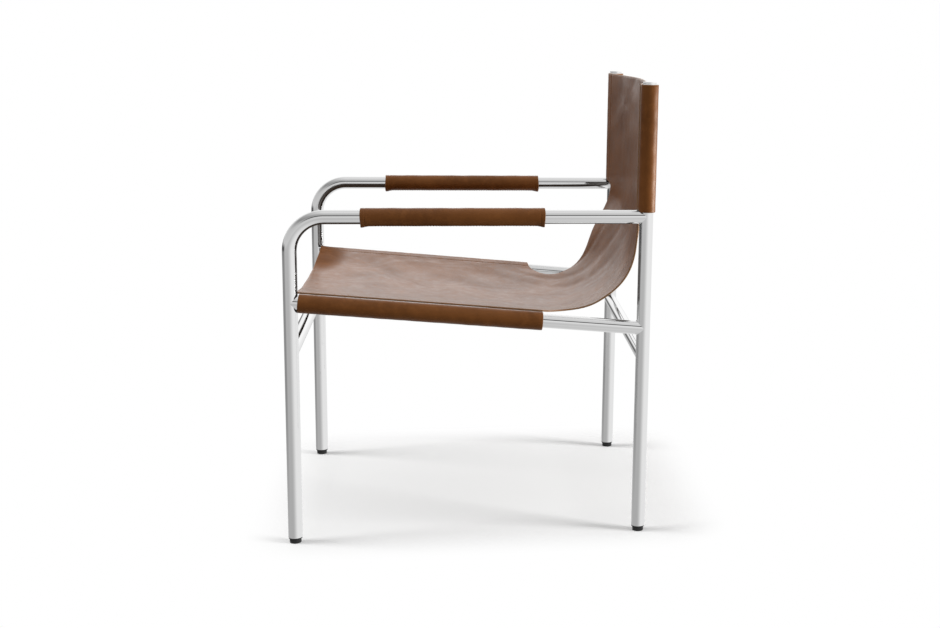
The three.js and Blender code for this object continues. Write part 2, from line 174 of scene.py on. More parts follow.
@dataclass
class Skin:
    """A closed surface that is ready to become a piece.

    Attributes:
        points: The corners' places.
        quads: Four point numbers for each face.
        finish_numbers: Which of the piece's finishes each quad has, or None where it has one alone.
        caps: Point numbers of further flat faces, such as the ends of a turned piece.
    """

    points: Array
    quads: Array
    finish_numbers: Array | None = None
    caps: list[list[int]] = field(default_factory=list)

    def to_piece(self, name: str, slot: Slot, finishes: list[Material],
                 sharp: float = 40) -> bpy.types.Object:
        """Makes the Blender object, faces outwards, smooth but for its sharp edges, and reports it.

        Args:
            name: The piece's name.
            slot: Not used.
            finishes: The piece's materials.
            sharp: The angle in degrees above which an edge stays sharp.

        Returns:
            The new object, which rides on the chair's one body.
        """
        quads, caps = self.quads, self.caps
        if enclosed_volume(self.points, quads) < 0:
            quads, caps = quads[:, ::-1], [cap[::-1] for cap in caps]
        mesh = bpy.data.meshes.new(name)
        mesh.from_pydata(self.points.tolist(), [], quads.tolist() + caps)
        mesh.shade_smooth()
        mesh.set_sharp_from_angle(angle=math.radians(sharp))
        for finish in finishes:
            mesh.materials.append(finish)
        if self.finish_numbers is not None:
            mesh.polygons.foreach_set("material_index", self.finish_numbers.astype(np.int32))
        mesh.update()
        piece = bpy.data.objects.new(name, mesh)
        bpy.context.scene.collection.objects.link(piece)
        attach(piece, BODY)
        log.info("%s: %d faces", name, len(mesh.polygons))
        return piece


@dataclass(frozen=True)
class Bar:
    """An endless round bar: what the end of a tube is coped to."""

    point: Array
    direction: Array
    radius: float

    def crossing(self, start: Array, heading: Array, entering: bool) -> Array:
        """How far along parallel lines they enter or leave the bar.

        The distance t solves |w + t e| = radius, where w and e are the parts of the start and of the
        heading that stand square to the bar.

        Args:
            start: A point on each line.
            heading: The lines' common direction.
            entering: Whether the first crossing is wanted, instead of the last.

        Returns:
            The distance along each line.
        """
        offset = start - self.point
        offset = offset - (offset @ self.direction)[..., None] * self.direction
        square = heading - (heading @ self.direction) * self.direction
        slant = square @ square
        middle = -(offset @ square) / slant
        spread = middle ** 2 - (np.sum(offset ** 2, axis=-1) - self.radius ** 2) / slant
        return middle + (-1 if entering else 1) * np.sqrt(np.maximum(spread, 0))


@dataclass(frozen=True)
class CentreLine:
    """A straight run and, where it has an angle, a round bend and a second straight run.

    Attributes:
        start: Where the line starts.
        heading: The first run's direction.
        towards: The direction square to the heading that the bend turns to.
        length: The whole length.
        straight: The first run's length.
        radius: The bend's radius.
        angle: The bend's angle in radians.
    """

    start: Array
    heading: Array
    towards: Array
    length: float
    straight: float = math.inf
    radius: float = 1.0
    angle: float = 0.0

    def at(self, distance: Array) -> tuple[Array, Array, Array, Array]:
        """Places and directions at distances along the line.

        Before the bend the place is start + distance * heading. In the bend it moves round a circle, and
        after it the rest of the distance runs along the turned heading.

        Args:
            distance: Distances from the start.

        Returns:
            The places, the directions along the line, and the two directions square to it.
        """
        turn = np.clip((distance - self.straight) / self.radius, 0, self.angle)[..., None]
        before = np.minimum(distance, self.straight)[..., None]
        after = np.maximum(distance - self.straight - self.radius * self.angle, 0)[..., None]
        along = np.cos(turn) * self.heading + np.sin(turn) * self.towards
        inside = np.cos(turn) * self.towards - np.sin(turn) * self.heading
        round_bend = self.radius * (np.sin(turn) * self.heading + (1 - np.cos(turn)) * self.towards)
        place = self.start + before * self.heading + round_bend + after * along
        return place, along, inside, np.cross(along, inside)


@dataclass(frozen=True)
class Tube:
    """A round steel tube along a centre line: a plain end is open and eased, the others coped and welded.

    Attributes:
        line: The centre line.
        radius: The outer radius.
        bore: The inner radius.
        start_bar: What its start is coped to, if anything.
        end_bar: The same for its end.
        weld: How far the weld's fillet flares out along the bar.
        sink: How far a coped end reaches under the bar's surface.
        edge: The rounding of a plain end's edge.
        sides: How many faces go round it.
        bend_rows: How many rows follow the bend.
        weld_rows: How many rows follow a fillet.
    """

    line: CentreLine
    radius: float
    bore: float
    start_bar: Bar | None = None
    end_bar: Bar | None = None
    weld: float = 1.8 * MM
    sink: float = 0.2 * MM
    edge: float = 0.5 * MM
    sides: int = 72
    bend_rows: int = 44
    weld_rows: int = 7

    def _end(self, at_start: bool) -> float:
        """The distance along the line of one of its ends."""
        return 0.0 if at_start else self.line.length

    def _points(self, distance: Array, radius: Array) -> Array:
        """Points of the skin: the line's places, plus the radius times a spoke for each angle round it."""
        centre, _, inside, across = self.line.at(distance)
        return centre + radius[..., None] * spokes(self.sides, inside, across)

    def _coped(self, bar: Bar, at_start: bool, radius: Array) -> Array:
        """The distance along the line at which the tube's skin, at a given radius, meets the bar.

        Args:
            bar: The bar that the end is coped to.
            at_start: Whether it is the line's start.
            radius: The radius at each angle.

        Returns:
            The distance at each angle.
        """
        near = self._end(at_start)
        skin = self._points(np.full(self.sides, near), radius)
        heading = self.line.at(np.array([near]))[1][0]
        sunk = Bar(bar.point, bar.direction, bar.radius - self.sink)
        return near + sunk.crossing(skin, heading, entering=not at_start)

    def _flare(self, bar: Bar, at_start: bool) -> Array:
        """How much of the fillet each angle has: all of it along the bar, none where the tubes are level.

        It is the squared cosine of the angle from the bar's direction.

        Args:
            bar: The bar that the end is coped to.
            at_start: Whether it is the line's start.

        Returns:
            The share at each angle.
        """
        directions = self.line.at(np.array([self._end(at_start)]))[1:]
        along, inside, across = (direction[0] for direction in directions)
        lengthways = unit(bar.direction - (bar.direction @ along) * along)
        angle = round_angles(self.sides)
        return (np.cos(angle) * (inside @ lengthways) + np.sin(angle) * (across @ lengthways)) ** 2

    def _end_rows(self, bar: Bar | None, at_start: bool) -> tuple[Array, Array]:
        """Rows of distances and radii from the very end of the outer skin to where it runs on plainly.

        A coped end has a fillet, a quarter circle between tube and bar. A plain end has a small round edge.

        Args:
            bar: What the end is coped to, or None.
            at_start: Whether it is the line's start.

        Returns:
            The distances and the radii, a row for each step and a column for each angle.
        """
        inwards = 1 if at_start else -1
        turn = np.linspace(math.pi / 2, 0, self.weld_rows)[:, None]
        if bar is None:
            end = np.full(self.sides, self._end(at_start))
            radius = self.radius - self.edge * (1 - np.cos(turn)) + np.zeros(self.sides)
            return end + inwards * self.edge * (1 - np.sin(turn)), radius
        flare = self.weld * self._flare(bar, at_start)
        end = self._coped(bar, at_start, self.radius + flare)
        return end + inwards * self.weld * (1 - np.sin(turn)), self.radius + flare * (1 - np.cos(turn))

    def _inner_end(self, bar: Bar | None, at_start: bool) -> Array:
        """The distance at which the bore ends, for each angle."""
        bore = np.full(self.sides, self.bore)
        return np.full(self.sides, self._end(at_start)) if bar is None else self._coped(bar, at_start, bore)

    def skin(self) -> Skin:
        """Joins the outer skin, from start to end, and the bore, back to the start.

        Returns:
            The closed surface.
        """
        start, start_radius = self._end_rows(self.start_bar, at_start=True)
        end, end_radius = self._end_rows(self.end_bar, at_start=False)
        middle = np.zeros((0, self.sides))
        if self.line.angle:
            bend = np.linspace(0, self.line.radius * self.line.angle, self.bend_rows) + self.line.straight
            middle = np.repeat(bend[:, None], self.sides, axis=1)
        bore_rows = [self._inner_end(self.end_bar, at_start=False)[None], middle[::-1],
                     self._inner_end(self.start_bar, at_start=True)[None]]
        distance = np.concatenate([start, middle, end[::-1], *bore_rows])
        inner = np.full((len(middle) + 2, self.sides), self.bore)
        radius = np.concatenate([start_radius, np.full_like(middle, self.radius), end_radius[::-1], inner])
        points = self._points(distance, radius)
        quads = grid_quads(len(points), self.sides, close_rows=True, close_columns=True)
        return Skin(points.reshape(-1, 3), quads)


@dataclass(frozen=True)
class TurnedPiece:
    """A round piece turned about an axis from half of its outline.

    Attributes:
        foot: The outline's origin on the axis.
        axis: The axis, from the first point of the outline to the last.
        outline: Radii and heights, from one flat end to the other.
        sides: How many faces go round it.
    """

    foot: Array
    axis: Array
    outline: Array
    sides: int = 72

    def skin(self) -> Skin:
        """Carries the outline round the axis, each flat end one face.

        Returns:
            The closed surface.
        """
        spoke = spokes(self.sides, ACROSS, np.cross(self.axis, ACROSS))
        radius, height = self.outline[:, 0, None, None], self.outline[:, 1, None, None]
        points = (self.foot + radius * spoke + height * self.axis).reshape(-1, 3)
        rows = len(self.outline)
        first = list(range(self.sides))
        last = [(rows - 1) * self.sides + number for number in first]
        return Skin(points, grid_quads(rows, self.sides, close_columns=True), caps=[first, last[::-1]])


class LeatherSide(Enum):
    """The finishes of a leather piece, in the order of its material slots."""

    GRAIN = 0
    EDGE = 1
    FLESH = 2


@dataclass(frozen=True)
class LeatherSheet:
    """A cut piece of leather round its middle surface.

    Attributes:
        middle: The middle surface, a grid whose rows and columns turn from one to the other as X turns
            to Y on the grain side.
        thickness: The leather's thickness.
        edge_bulge: How far the burnished edge swells out.
        edge_rows: How many rows of faces go round the edge.
    """

    middle: Array
    thickness: float
    edge_bulge: float = 0.9 * MM
    edge_rows: int = 6

    def normals(self) -> Array:
        """The directions square to the middle surface, towards the grain side."""
        return unit(np.cross(np.gradient(self.middle, axis=0), np.gradient(self.middle, axis=1)))

    def _border(self) -> Array:
        """Walks once round the grid's border.

        Returns:
            The border points' numbers.
        """
        rows, columns = self.middle.shape[:2]
        numbers = np.arange(rows * columns).reshape(rows, columns)
        return np.concatenate([numbers[:, 0], numbers[-1, 1:], numbers[-2::-1, -1], numbers[0, -2:0:-1]])

    def skin(self) -> Skin:
        """Joins the grain side, the rounded edge and the flesh side.

        Both sides lie half a thickness from the middle surface. The edge joins them by half an ellipse that
        stands out square to the border.

        Returns:
            The closed surface, with its three finishes.
        """
        rows, columns = self.middle.shape[:2]
        middle = self.middle.reshape(-1, 3)
        normal = self.normals().reshape(-1, 3)
        half = self.thickness / 2
        border = self._border()
        rim = middle[border]
        outwards = unit(np.cross(np.roll(rim, -1, axis=0) - np.roll(rim, 1, axis=0), normal[border]))
        turn = np.linspace(0, math.pi, self.edge_rows + 1)[1:-1, None, None]
        edge = rim + self.edge_bulge * np.sin(turn) * outwards + half * np.cos(turn) * normal[border]
        count, loop = rows * columns, len(border)
        points = np.concatenate([middle + half * normal, middle - half * normal, edge.reshape(-1, 3)])
        ring_numbers = 2 * count + np.arange((self.edge_rows - 1) * loop).reshape(-1, loop)
        rings = np.concatenate([border[None], ring_numbers, border[None] + count]).reshape(-1)
        face = grid_quads(rows, columns)
        rim_quads = rings[grid_quads(self.edge_rows + 1, loop, close_columns=True)]
        quads = np.concatenate([face, rim_quads, face[:, ::-1] + count])
        sides = (LeatherSide.GRAIN, LeatherSide.EDGE, LeatherSide.FLESH)
        numbers = np.repeat([side.value for side in sides], [len(face), len(rim_quads), len(face)])
        return Skin(points, quads, numbers)

    def to_piece(self, name: str, finishes: list[Material]) -> bpy.types.Object:
        """Makes the Blender object of the sheet, in the leather's finishes."""
        return self.skin().to_piece(name, Slot.LEATHER, finishes)


@dataclass(frozen=True)
class Stitches:
    """A row of separate stitches of sewing thread, each a small capsule whose ends dip into the leather.

    Attributes:
        centres: The middle of each stitch, on the leather's surface.
        along: The direction of each stitch.
        up: The direction out of the leather at each stitch.
        length: A stitch's length.
        thread: The thread's diameter.
        dip: How far the ends go below the middle.
        sides: How many faces go round a stitch.
        rings: How many rings a stitch has.
        sharp: The angle in degrees above which its edges stay sharp: more than between its few sides.
    """

    centres: Array
    along: Array
    up: Array
    length: float
    thread: float = 0.8 * MM
    dip: float = 0.55 * MM
    sides: int = 6
    rings: int = 6
    sharp: float = 80

    def skin(self) -> Skin:
        """Shapes the capsules: at a share t of half the length the radius is the root of 1 - t^4.

        Returns:
            Their closed surfaces.
        """
        share = np.cos(np.linspace(math.pi, 0, self.rings + 2)[1:-1])
        angle = round_angles(self.sides)
        radius = self.thread / 2 * np.sqrt(1 - share ** 4)[:, None]
        lengthways = np.repeat(share[:, None] * self.length / 2, self.sides, axis=1)
        height = radius * np.sin(angle) - self.dip * share[:, None] ** 2
        template = np.stack([lengthways, radius * np.cos(angle), height], axis=-1).reshape(-1, 3)
        up = unit(self.up - np.sum(self.up * self.along, axis=-1, keepdims=True) * self.along)
        axes = np.stack([self.along, np.cross(up, self.along), up], axis=1)
        points = self.centres[:, None] + np.einsum("pk,nkc->npc", template, axes)
        count = len(template)
        first = np.arange(len(self.centres)) * count
        quads = grid_quads(self.rings, self.sides, close_columns=True) + first[:, None, None]
        end = np.arange(self.sides)
        caps = np.concatenate([first[:, None] + end, first[:, None] + count - 1 - end])
        return Skin(points.reshape(-1, 3), quads.reshape(-1, 4), caps=caps.tolist())

    def to_piece(self, name: str, finish: Material) -> bpy.types.Object:
        """Makes the Blender object of the whole row."""
        return self.skin().to_piece(name, Slot.LEATHER, [finish], self.sharp)


# The chair's lines


@dataclass(frozen=True)
class ChairLines:
    """The frame's centre lines. Heights are above the floor.

    Attributes:
        half_spacing: The middle plane to a side's tubes.
        front: The front legs' place in Y.
        leg_spacing: A front leg's axis to its upright's axis, at the floor.
        tube: The tube's outer radius.
        wall: The tube's wall.
        arm_height: The arm's axis.
        arm_bend: The bend's radius between front leg and arm.
        lean: How far the upright leans back, in radians.
        upright_top: The upright's end.
        rail_height: The seat rail's axis where it meets the front leg's.
        rail_slope: How the rail falls to the rear, in radians.
        front_bar_height: The front crossbar's axis.
        rear_bar_height: The rear crossbar's axis.
        glide_height: The floor to the tubes' lower ends.
    """

    half_spacing: float
    front: float
    leg_spacing: float
    tube: float
    arm_height: float
    glide_height: float
    front_bar_height: float
    rear_bar_height: float
    wall: float = 1.5 * MM
    arm_bend: float = 60 * MM
    lean: float = math.radians(0.66)
    upright_top: float = 826.5 * MM
    rail_height: float = 437.5 * MM
    rail_slope: float = math.radians(4.95)

    @classmethod
    def from_frame(cls) -> "ChairLines":
        """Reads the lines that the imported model's boxes give.

        Returns:
            The lines.
        """
        low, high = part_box("left_front_glide")
        front_low, front_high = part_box("front_crossbar")
        rear_low, rear_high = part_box("rear_crossbar")
        tube_low, tube_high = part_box("left_front_leg_arm_tube")
        tube = (tube_high[0] - tube_low[0]) / 2
        rear_height = (rear_low[2] + rear_high[2]) / 2
        front = (low[1] + high[1]) / 2
        rear_axis = (rear_low[1] + rear_high[1]) / 2 - rear_height * math.tan(cls.lean)
        return cls(
            half_spacing=(low[0] + high[0]) / 2,
            front=front,
            leg_spacing=rear_axis - front,
            tube=tube,
            arm_height=tube_high[2] - tube,
            glide_height=tube_low[2],
            front_bar_height=(front_low[2] + front_high[2]) / 2,
            rear_bar_height=rear_height,
        )

    @property
    def bore(self) -> float:
        """The tube's inner radius."""
        return self.tube - self.wall

    @property
    def along_rail(self) -> Array:
        """The rail's direction, towards the rear."""
        return np.array([0, math.cos(self.rail_slope), -math.sin(self.rail_slope)])

    @property
    def above_rail(self) -> Array:
        """The direction square to the rail, up."""
        return np.array([0, math.sin(self.rail_slope), math.cos(self.rail_slope)])

    @property
    def along_upright(self) -> Array:
        """The upright's direction, up."""
        return np.array([0, math.sin(self.lean), math.cos(self.lean)])

    @property
    def before_upright(self) -> Array:
        """The direction square to the upright, towards the sitter."""
        return np.array([0, -math.cos(self.lean), math.sin(self.lean)])

    def leg_point(self, height: float, x: float = 0) -> Array:
        """The point at a height on the front leg's axis."""
        return np.array([x, self.front, height])

    def upright_point(self, height: float, x: float = 0) -> Array:
        """The point at a height on the upright's axis."""
        return np.array([x, self.front + self.leg_spacing + height * math.tan(self.lean), height])

    def rail_point(self, distance: float, x: float = 0) -> Array:
        """The point on the rail's axis at a distance behind the front leg's axis."""
        return self.leg_point(self.rail_height, x) + distance * self.along_rail

    def rail_length(self) -> float:
        """Works out where the rail's axis meets the upright's.

        Returns:
            The distance along the rail.
        """
        fall = self.rail_height - self.leg_spacing * math.tan(self.rail_slope)
        height = fall / (1 + math.tan(self.lean) * math.tan(self.rail_slope))
        return float(np.linalg.norm(self.upright_point(height) - self.rail_point(0)))

    def leg_bar(self, x: float) -> Bar:
        """The front leg as a bar that others are coped to."""
        return Bar(self.leg_point(0, x), UPWARDS, self.tube)

    def upright_bar(self, x: float) -> Bar:
        """The upright as a bar that others are coped to."""
        return Bar(self.upright_point(0, x), self.along_upright, self.tube)


# Finishes. A texture's scale is one over the size of its features, in metres.


# A Mix node's sockets go by number, because those of every type of value have the same names.
NUMBER_A, NUMBER_B = 2, 3
COLOUR_A, COLOUR_B = 6, 7
COLOUR_OUT = 2


def from_hex(colour: str) -> tuple[float, float, float, float]:
    """Turns an sRGB hex colour to linear light, by the curve of the sRGB standard.

    Args:
        colour: Six hex digits, such as "87552f".

    Returns:
        Linear red, green and blue, and full alpha.
    """
    shares = [int(colour[place:place + 2], 16) / 255 for place in (0, 2, 4)]
    linear = [share / 12.92 if share <= 0.04045 else ((share + 0.055) / 1.055) ** 2.4 for share in shares]
    return (*linear, 1.0)


def add_node(tree: Tree, kind: str, inputs: dict | None = None, **settings: object) -> bpy.types.Node:
    """Adds a node to a tree.

    Args:
        tree: The tree.
        kind: The node's type name, less the ShaderNode in front.
        inputs: For each input, by name or number, a value, the socket that feeds it, or the node whose
            first output does.
        settings: The node's own settings.

    Returns:
        The new node.
    """
    node = tree.nodes.new("ShaderNode" + kind)
    for setting, value in settings.items():
        setattr(node, setting, value)
    for key, value in (inputs or {}).items():
        if isinstance(value, bpy.types.Node):
            value = value.outputs[0]
        if isinstance(value, Socket):
            tree.links.new(value, node.inputs[key])
        else:
            node.inputs[key].default_value = value
    return node


def new_material(name: str) -> tuple[Material, Tree, Socket]:
    """Starts a material.

    Args:
        name: The material's name.

    Returns:
        The material, its empty tree and the object coordinates in that tree.
    """
    material = bpy.data.materials.new(name)
    material.use_nodes = True
    tree = material.node_tree
    tree.nodes.clear()
    return material, tree, add_node(tree, "TexCoord").outputs["Object"]


def finish_tree(tree: Tree, shader: bpy.types.Node) -> None:
    """Leads a shader to the material's output."""
    add_node(tree, "OutputMaterial", {"Surface": shader})


def painted_dark_reflection(tree: Tree, colour: Socket, mirrored: str = "241b17") -> Socket:
    """A leather's colour with a painted reflection: mirrors see it nearly black instead, as the photograph
    shows it.

    Args:
        tree: The material's tree.
        colour: The leather's colour.
        mirrored: The painted near-black colour that mirrors see in place of the leather's own.

    Returns:
        The colour to use.
    """
    path = add_node(tree, "LightPath")
    return add_node(tree, "Mix", {
        "Factor": path.outputs["Is Glossy Ray"], COLOUR_A: colour, COLOUR_B: from_hex(mirrored)},
        data_type="RGBA").outputs[COLOUR_OUT]


@dataclass(frozen=True)
class BrightChrome:
    """Decorative chromium over polished and buffed steel tube: a near mirror, a little cool, with faint
    buffing haze and a slow waviness that bends long reflections.
    """

    colour: str = "f6f6f6"
    roughness: float = 0.02
    haze: float = 0.03
    haze_size: float = 35 * MM
    wave_size: float = 60 * MM
    wave_height: float = 0.02 * MM

    def material(self) -> Material:
        """Builds the material.

        Returns:
            The material.
        """
        material, tree, place = new_material("bright_chrome")
        haze = add_node(tree, "TexNoise", {
            "Vector": place, "Scale": 1 / self.haze_size, "Detail": 5.0, "Roughness": 0.6})
        roughness = add_node(tree, "MapRange", {
            "Value": haze, "From Min": 0.35, "From Max": 0.75,
            "To Min": self.roughness, "To Max": self.roughness + self.haze})
        wave = add_node(tree, "TexNoise", {"Vector": place, "Scale": 1 / self.wave_size, "Detail": 1.0})
        relief = add_node(tree, "Bump", {"Height": wave, "Distance": self.wave_height})
        shader = add_node(tree, "BsdfPrincipled", {
            "Base Color": from_hex(self.colour), "Metallic": 1.0,
            "Roughness": roughness, "Normal": relief})
        finish_tree(tree, shader)
        return material


@dataclass(frozen=True)
class GrainLeather:
    """Vegetable-tanned saddle leather, dyed through, waxed and plated smooth on the grain side: satin, with
    fine pores, cloudy colour, slow billows and a clear pale gloss at a low angle, brown where it faces the
    eye. At the seat's right front corner the wax is worn off, which leaves it matt and darker.
    """

    colour: str = "804e26"
    dark: str = "6e411e"
    light: str = "915b2e"
    roughness: float = 0.36
    roughness_spread: float = 0.10
    gloss_tint: str = "dabb9c"
    cloud_size: float = 110 * MM
    mottle_size: float = 14 * MM
    pore_size: float = 1.1 * MM  # real pores are about 0.3 mm; drawn larger, so that they show
    pore_depth: float = 0.010 * MM
    crease_size: float = 9 * MM
    crease_depth: float = 0.015 * MM
    billow_size: float = 120 * MM
    billow_depth: float = 4 * MM
    bare_place: Point = (-0.19, -0.30, 0.45)
    bare_reach: Point = (0.14, 0.055, 0.05)
    bare_roughness: float = 0.8
    ior: float = 1.4

    def material(self) -> Material:
        """Builds the material.

        Returns:
            The material.
        """
        material, tree, place = new_material("saddle_leather_grain_side")
        clouds = add_node(tree, "TexNoise", {
            "Vector": place, "Scale": 1 / self.cloud_size, "Detail": 3.0, "Distortion": 0.4})
        mottle = add_node(tree, "TexNoise", {
            "Vector": place, "Scale": 1 / self.mottle_size, "Detail": 6.0, "Roughness": 0.65})
        pores = add_node(tree, "TexVoronoi", {"Vector": place, "Scale": 1 / self.pore_size}, feature="F1")
        cloudy = add_node(tree, "MapRange", {
            "Value": clouds, "From Min": 0.3, "From Max": 0.7}, interpolation_type="SMOOTHSTEP")
        base = add_node(tree, "Mix", {
            "Factor": cloudy, COLOUR_A: from_hex(self.dark), COLOUR_B: from_hex(self.colour)},
            data_type="RGBA")
        lights = add_node(tree, "MapRange", {
            "Value": mottle, "From Min": 0.48, "From Max": 0.75, "To Max": 0.5})
        colour = add_node(tree, "Mix", {
            "Factor": lights, COLOUR_A: base.outputs[COLOUR_OUT], COLOUR_B: from_hex(self.light)},
            data_type="RGBA")
        waxed = add_node(tree, "MapRange", {
            "Value": mottle, "From Min": 0.3, "From Max": 0.7,
            "To Min": self.roughness, "To Max": self.roughness + self.roughness_spread})
        off = add_node(tree, "VectorMath", {0: place, 1: self.bare_place}, operation="SUBTRACT")
        share = add_node(tree, "VectorMath", {0: off, 1: self.bare_reach}, operation="DIVIDE")
        away = add_node(tree, "VectorMath", {0: share}, operation="LENGTH")
        bare = add_node(tree, "MapRange", {
            "Value": away.outputs["Value"], "From Min": 1.0, "From Max": 0.3},
            interpolation_type="SMOOTHSTEP")
        roughness = add_node(tree, "Mix", {
            "Factor": bare, NUMBER_A: waxed, NUMBER_B: self.bare_roughness})
        creases = add_node(tree, "TexNoise", {
            "Vector": place, "Scale": 1 / self.crease_size, "Detail": 4.0, "Distortion": 0.8})
        billows = add_node(tree, "TexNoise", {
            "Vector": place, "Scale": 1 / self.billow_size, "Detail": 2.0, "Distortion": 0.6})
        slow = add_node(tree, "Bump", {"Height": billows, "Distance": self.billow_depth})
        broad = add_node(tree, "Bump", {"Height": creases, "Distance": self.crease_depth, "Normal": slow})
        fine = add_node(tree, "Bump", {"Height": pores, "Distance": self.pore_depth, "Normal": broad})
        shader = add_node(tree, "BsdfPrincipled", {
            "Base Color": painted_dark_reflection(tree, colour.outputs[COLOUR_OUT]),
            "Roughness": roughness, "IOR": self.ior,
            "Specular Tint": from_hex(self.gloss_tint), "Normal": fine})
        finish_tree(tree, shader)
        return material


@dataclass(frozen=True)
class FleshLeather:
    """The leather's flesh side, shaved and pasted down: matt, a little paler, with a short laid nap."""

    colour: str = "7f5636"
    light: str = "96704e"
    roughness: float = 0.78
    nap_size: float = 2.2 * MM
    nap_height: float = 0.25 * MM
    patch_size: float = 45 * MM

    def material(self) -> Material:
        """Builds the material.

        Returns:
            The material.
        """
        material, tree, place = new_material("saddle_leather_flesh_side")
        nap = add_node(tree, "TexNoise", {
            "Vector": place, "Scale": 1 / self.nap_size, "Detail": 8.0, "Roughness": 0.75})
        patches = add_node(tree, "TexNoise", {
            "Vector": place, "Scale": 1 / self.patch_size, "Detail": 4.0})
        mixed = add_node(tree, "Math", {0: nap, 1: patches}, operation="MULTIPLY")
        share = add_node(tree, "MapRange", {"Value": mixed, "From Min": 0.12, "From Max": 0.42})
        colour = add_node(tree, "Mix", {
            "Factor": share, COLOUR_A: from_hex(self.colour), COLOUR_B: from_hex(self.light)},
            data_type="RGBA")
        relief = add_node(tree, "Bump", {"Height": nap, "Distance": self.nap_height})
        shader = add_node(tree, "BsdfPrincipled", {
            "Base Color": painted_dark_reflection(tree, colour.outputs[COLOUR_OUT]),
            "Roughness": self.roughness, "Normal": relief})
        finish_tree(tree, shader)
        return material


@dataclass(frozen=True)
class MottledFinish:
    """A finish of two near colours that follow one fine noise, as its relief does where it has any.

    Attributes:
        name: The material's name.
        colour: The colour of the noise's hollows.
        light: The colour of its heights.
        roughness: How matt it is.
        grain: How large the noise's features are.
        detail: How many finer layers the noise has.
        relief: How high it stands up.
        leather: Whether mirrors see it in the leather's painted near-black reflection colour.
    """

    name: str
    colour: str
    light: str
    roughness: float
    grain: float
    detail: float = 3.0
    relief: float = 0.0
    leather: bool = False

    def material(self) -> Material:
        """Builds the material.

        Returns:
            The material.
        """
        material, tree, place = new_material(self.name)
        noise = add_node(tree, "TexNoise", {
            "Vector": place, "Scale": 1 / self.grain, "Detail": self.detail})
        colour = add_node(tree, "Mix", {
            "Factor": noise, COLOUR_A: from_hex(self.colour), COLOUR_B: from_hex(self.light)},
            data_type="RGBA").outputs[COLOUR_OUT]
        inputs = {"Base Color": painted_dark_reflection(tree, colour) if self.leather else colour,
                  "Roughness": self.roughness}
        if self.relief:
            inputs["Normal"] = add_node(tree, "Bump", {"Height": noise, "Distance": self.relief})
        finish_tree(tree, add_node(tree, "BsdfPrincipled", inputs))
        return material


@dataclass(frozen=True)
class BurnishedEdge(MottledFinish):
    """The leather's cut edge, bevelled and rubbed smooth with clear gum: the hide's own tan, with its fibre
    layers.
    Its paleness beside the dyed face is partly that tan and partly a painted highlight where the edge
    catches light.
    """

    name: str = "burnished_leather_edge"
    colour: str = "7a5230"
    light: str = "a47c54"
    roughness: float = 0.45
    grain: float = 0.9 * MM
    relief: float = 0.1 * MM
    leather: bool = True


@dataclass(frozen=True)
class WaxedThread(MottledFinish):
    """Bonded, waxed sewing thread, dyed near the leather's brown: a soft gloss on its twist."""

    name: str = "waxed_thread"
    colour: str = "6b4124"
    light: str = "8a5a36"
    roughness: float = 0.5
    grain: float = 0.5 * MM
    detail: float = 2.0


@dataclass(frozen=True)
class MouldedPlastic(MottledFinish):
    """Injection-moulded black polyethylene: near black, matt, with the mould's fine spark texture."""

    name: str = "moulded_black_plastic"
    colour: str = "161616"
    light: str = "262626"
    roughness: float = 0.48
    grain: float = 0.6 * MM
    relief: float = 0.03 * MM


class Finishes:
    """The chair's materials, each built once."""

    def __init__(self) -> None:
        """Builds them."""
        self.chrome = BrightChrome().material()
        self.grain = GrainLeather().material()
        self.edge = BurnishedEdge().material()
        self.flesh = FleshLeather().material()
        self.thread = WaxedThread().material()
        self.plastic = MouldedPlastic().material()

    @property
    def leather(self) -> list[Material]:
        """The three finishes of a leather piece, in the order of LeatherSide."""
        return [self.grain, self.edge, self.flesh]


# Frame


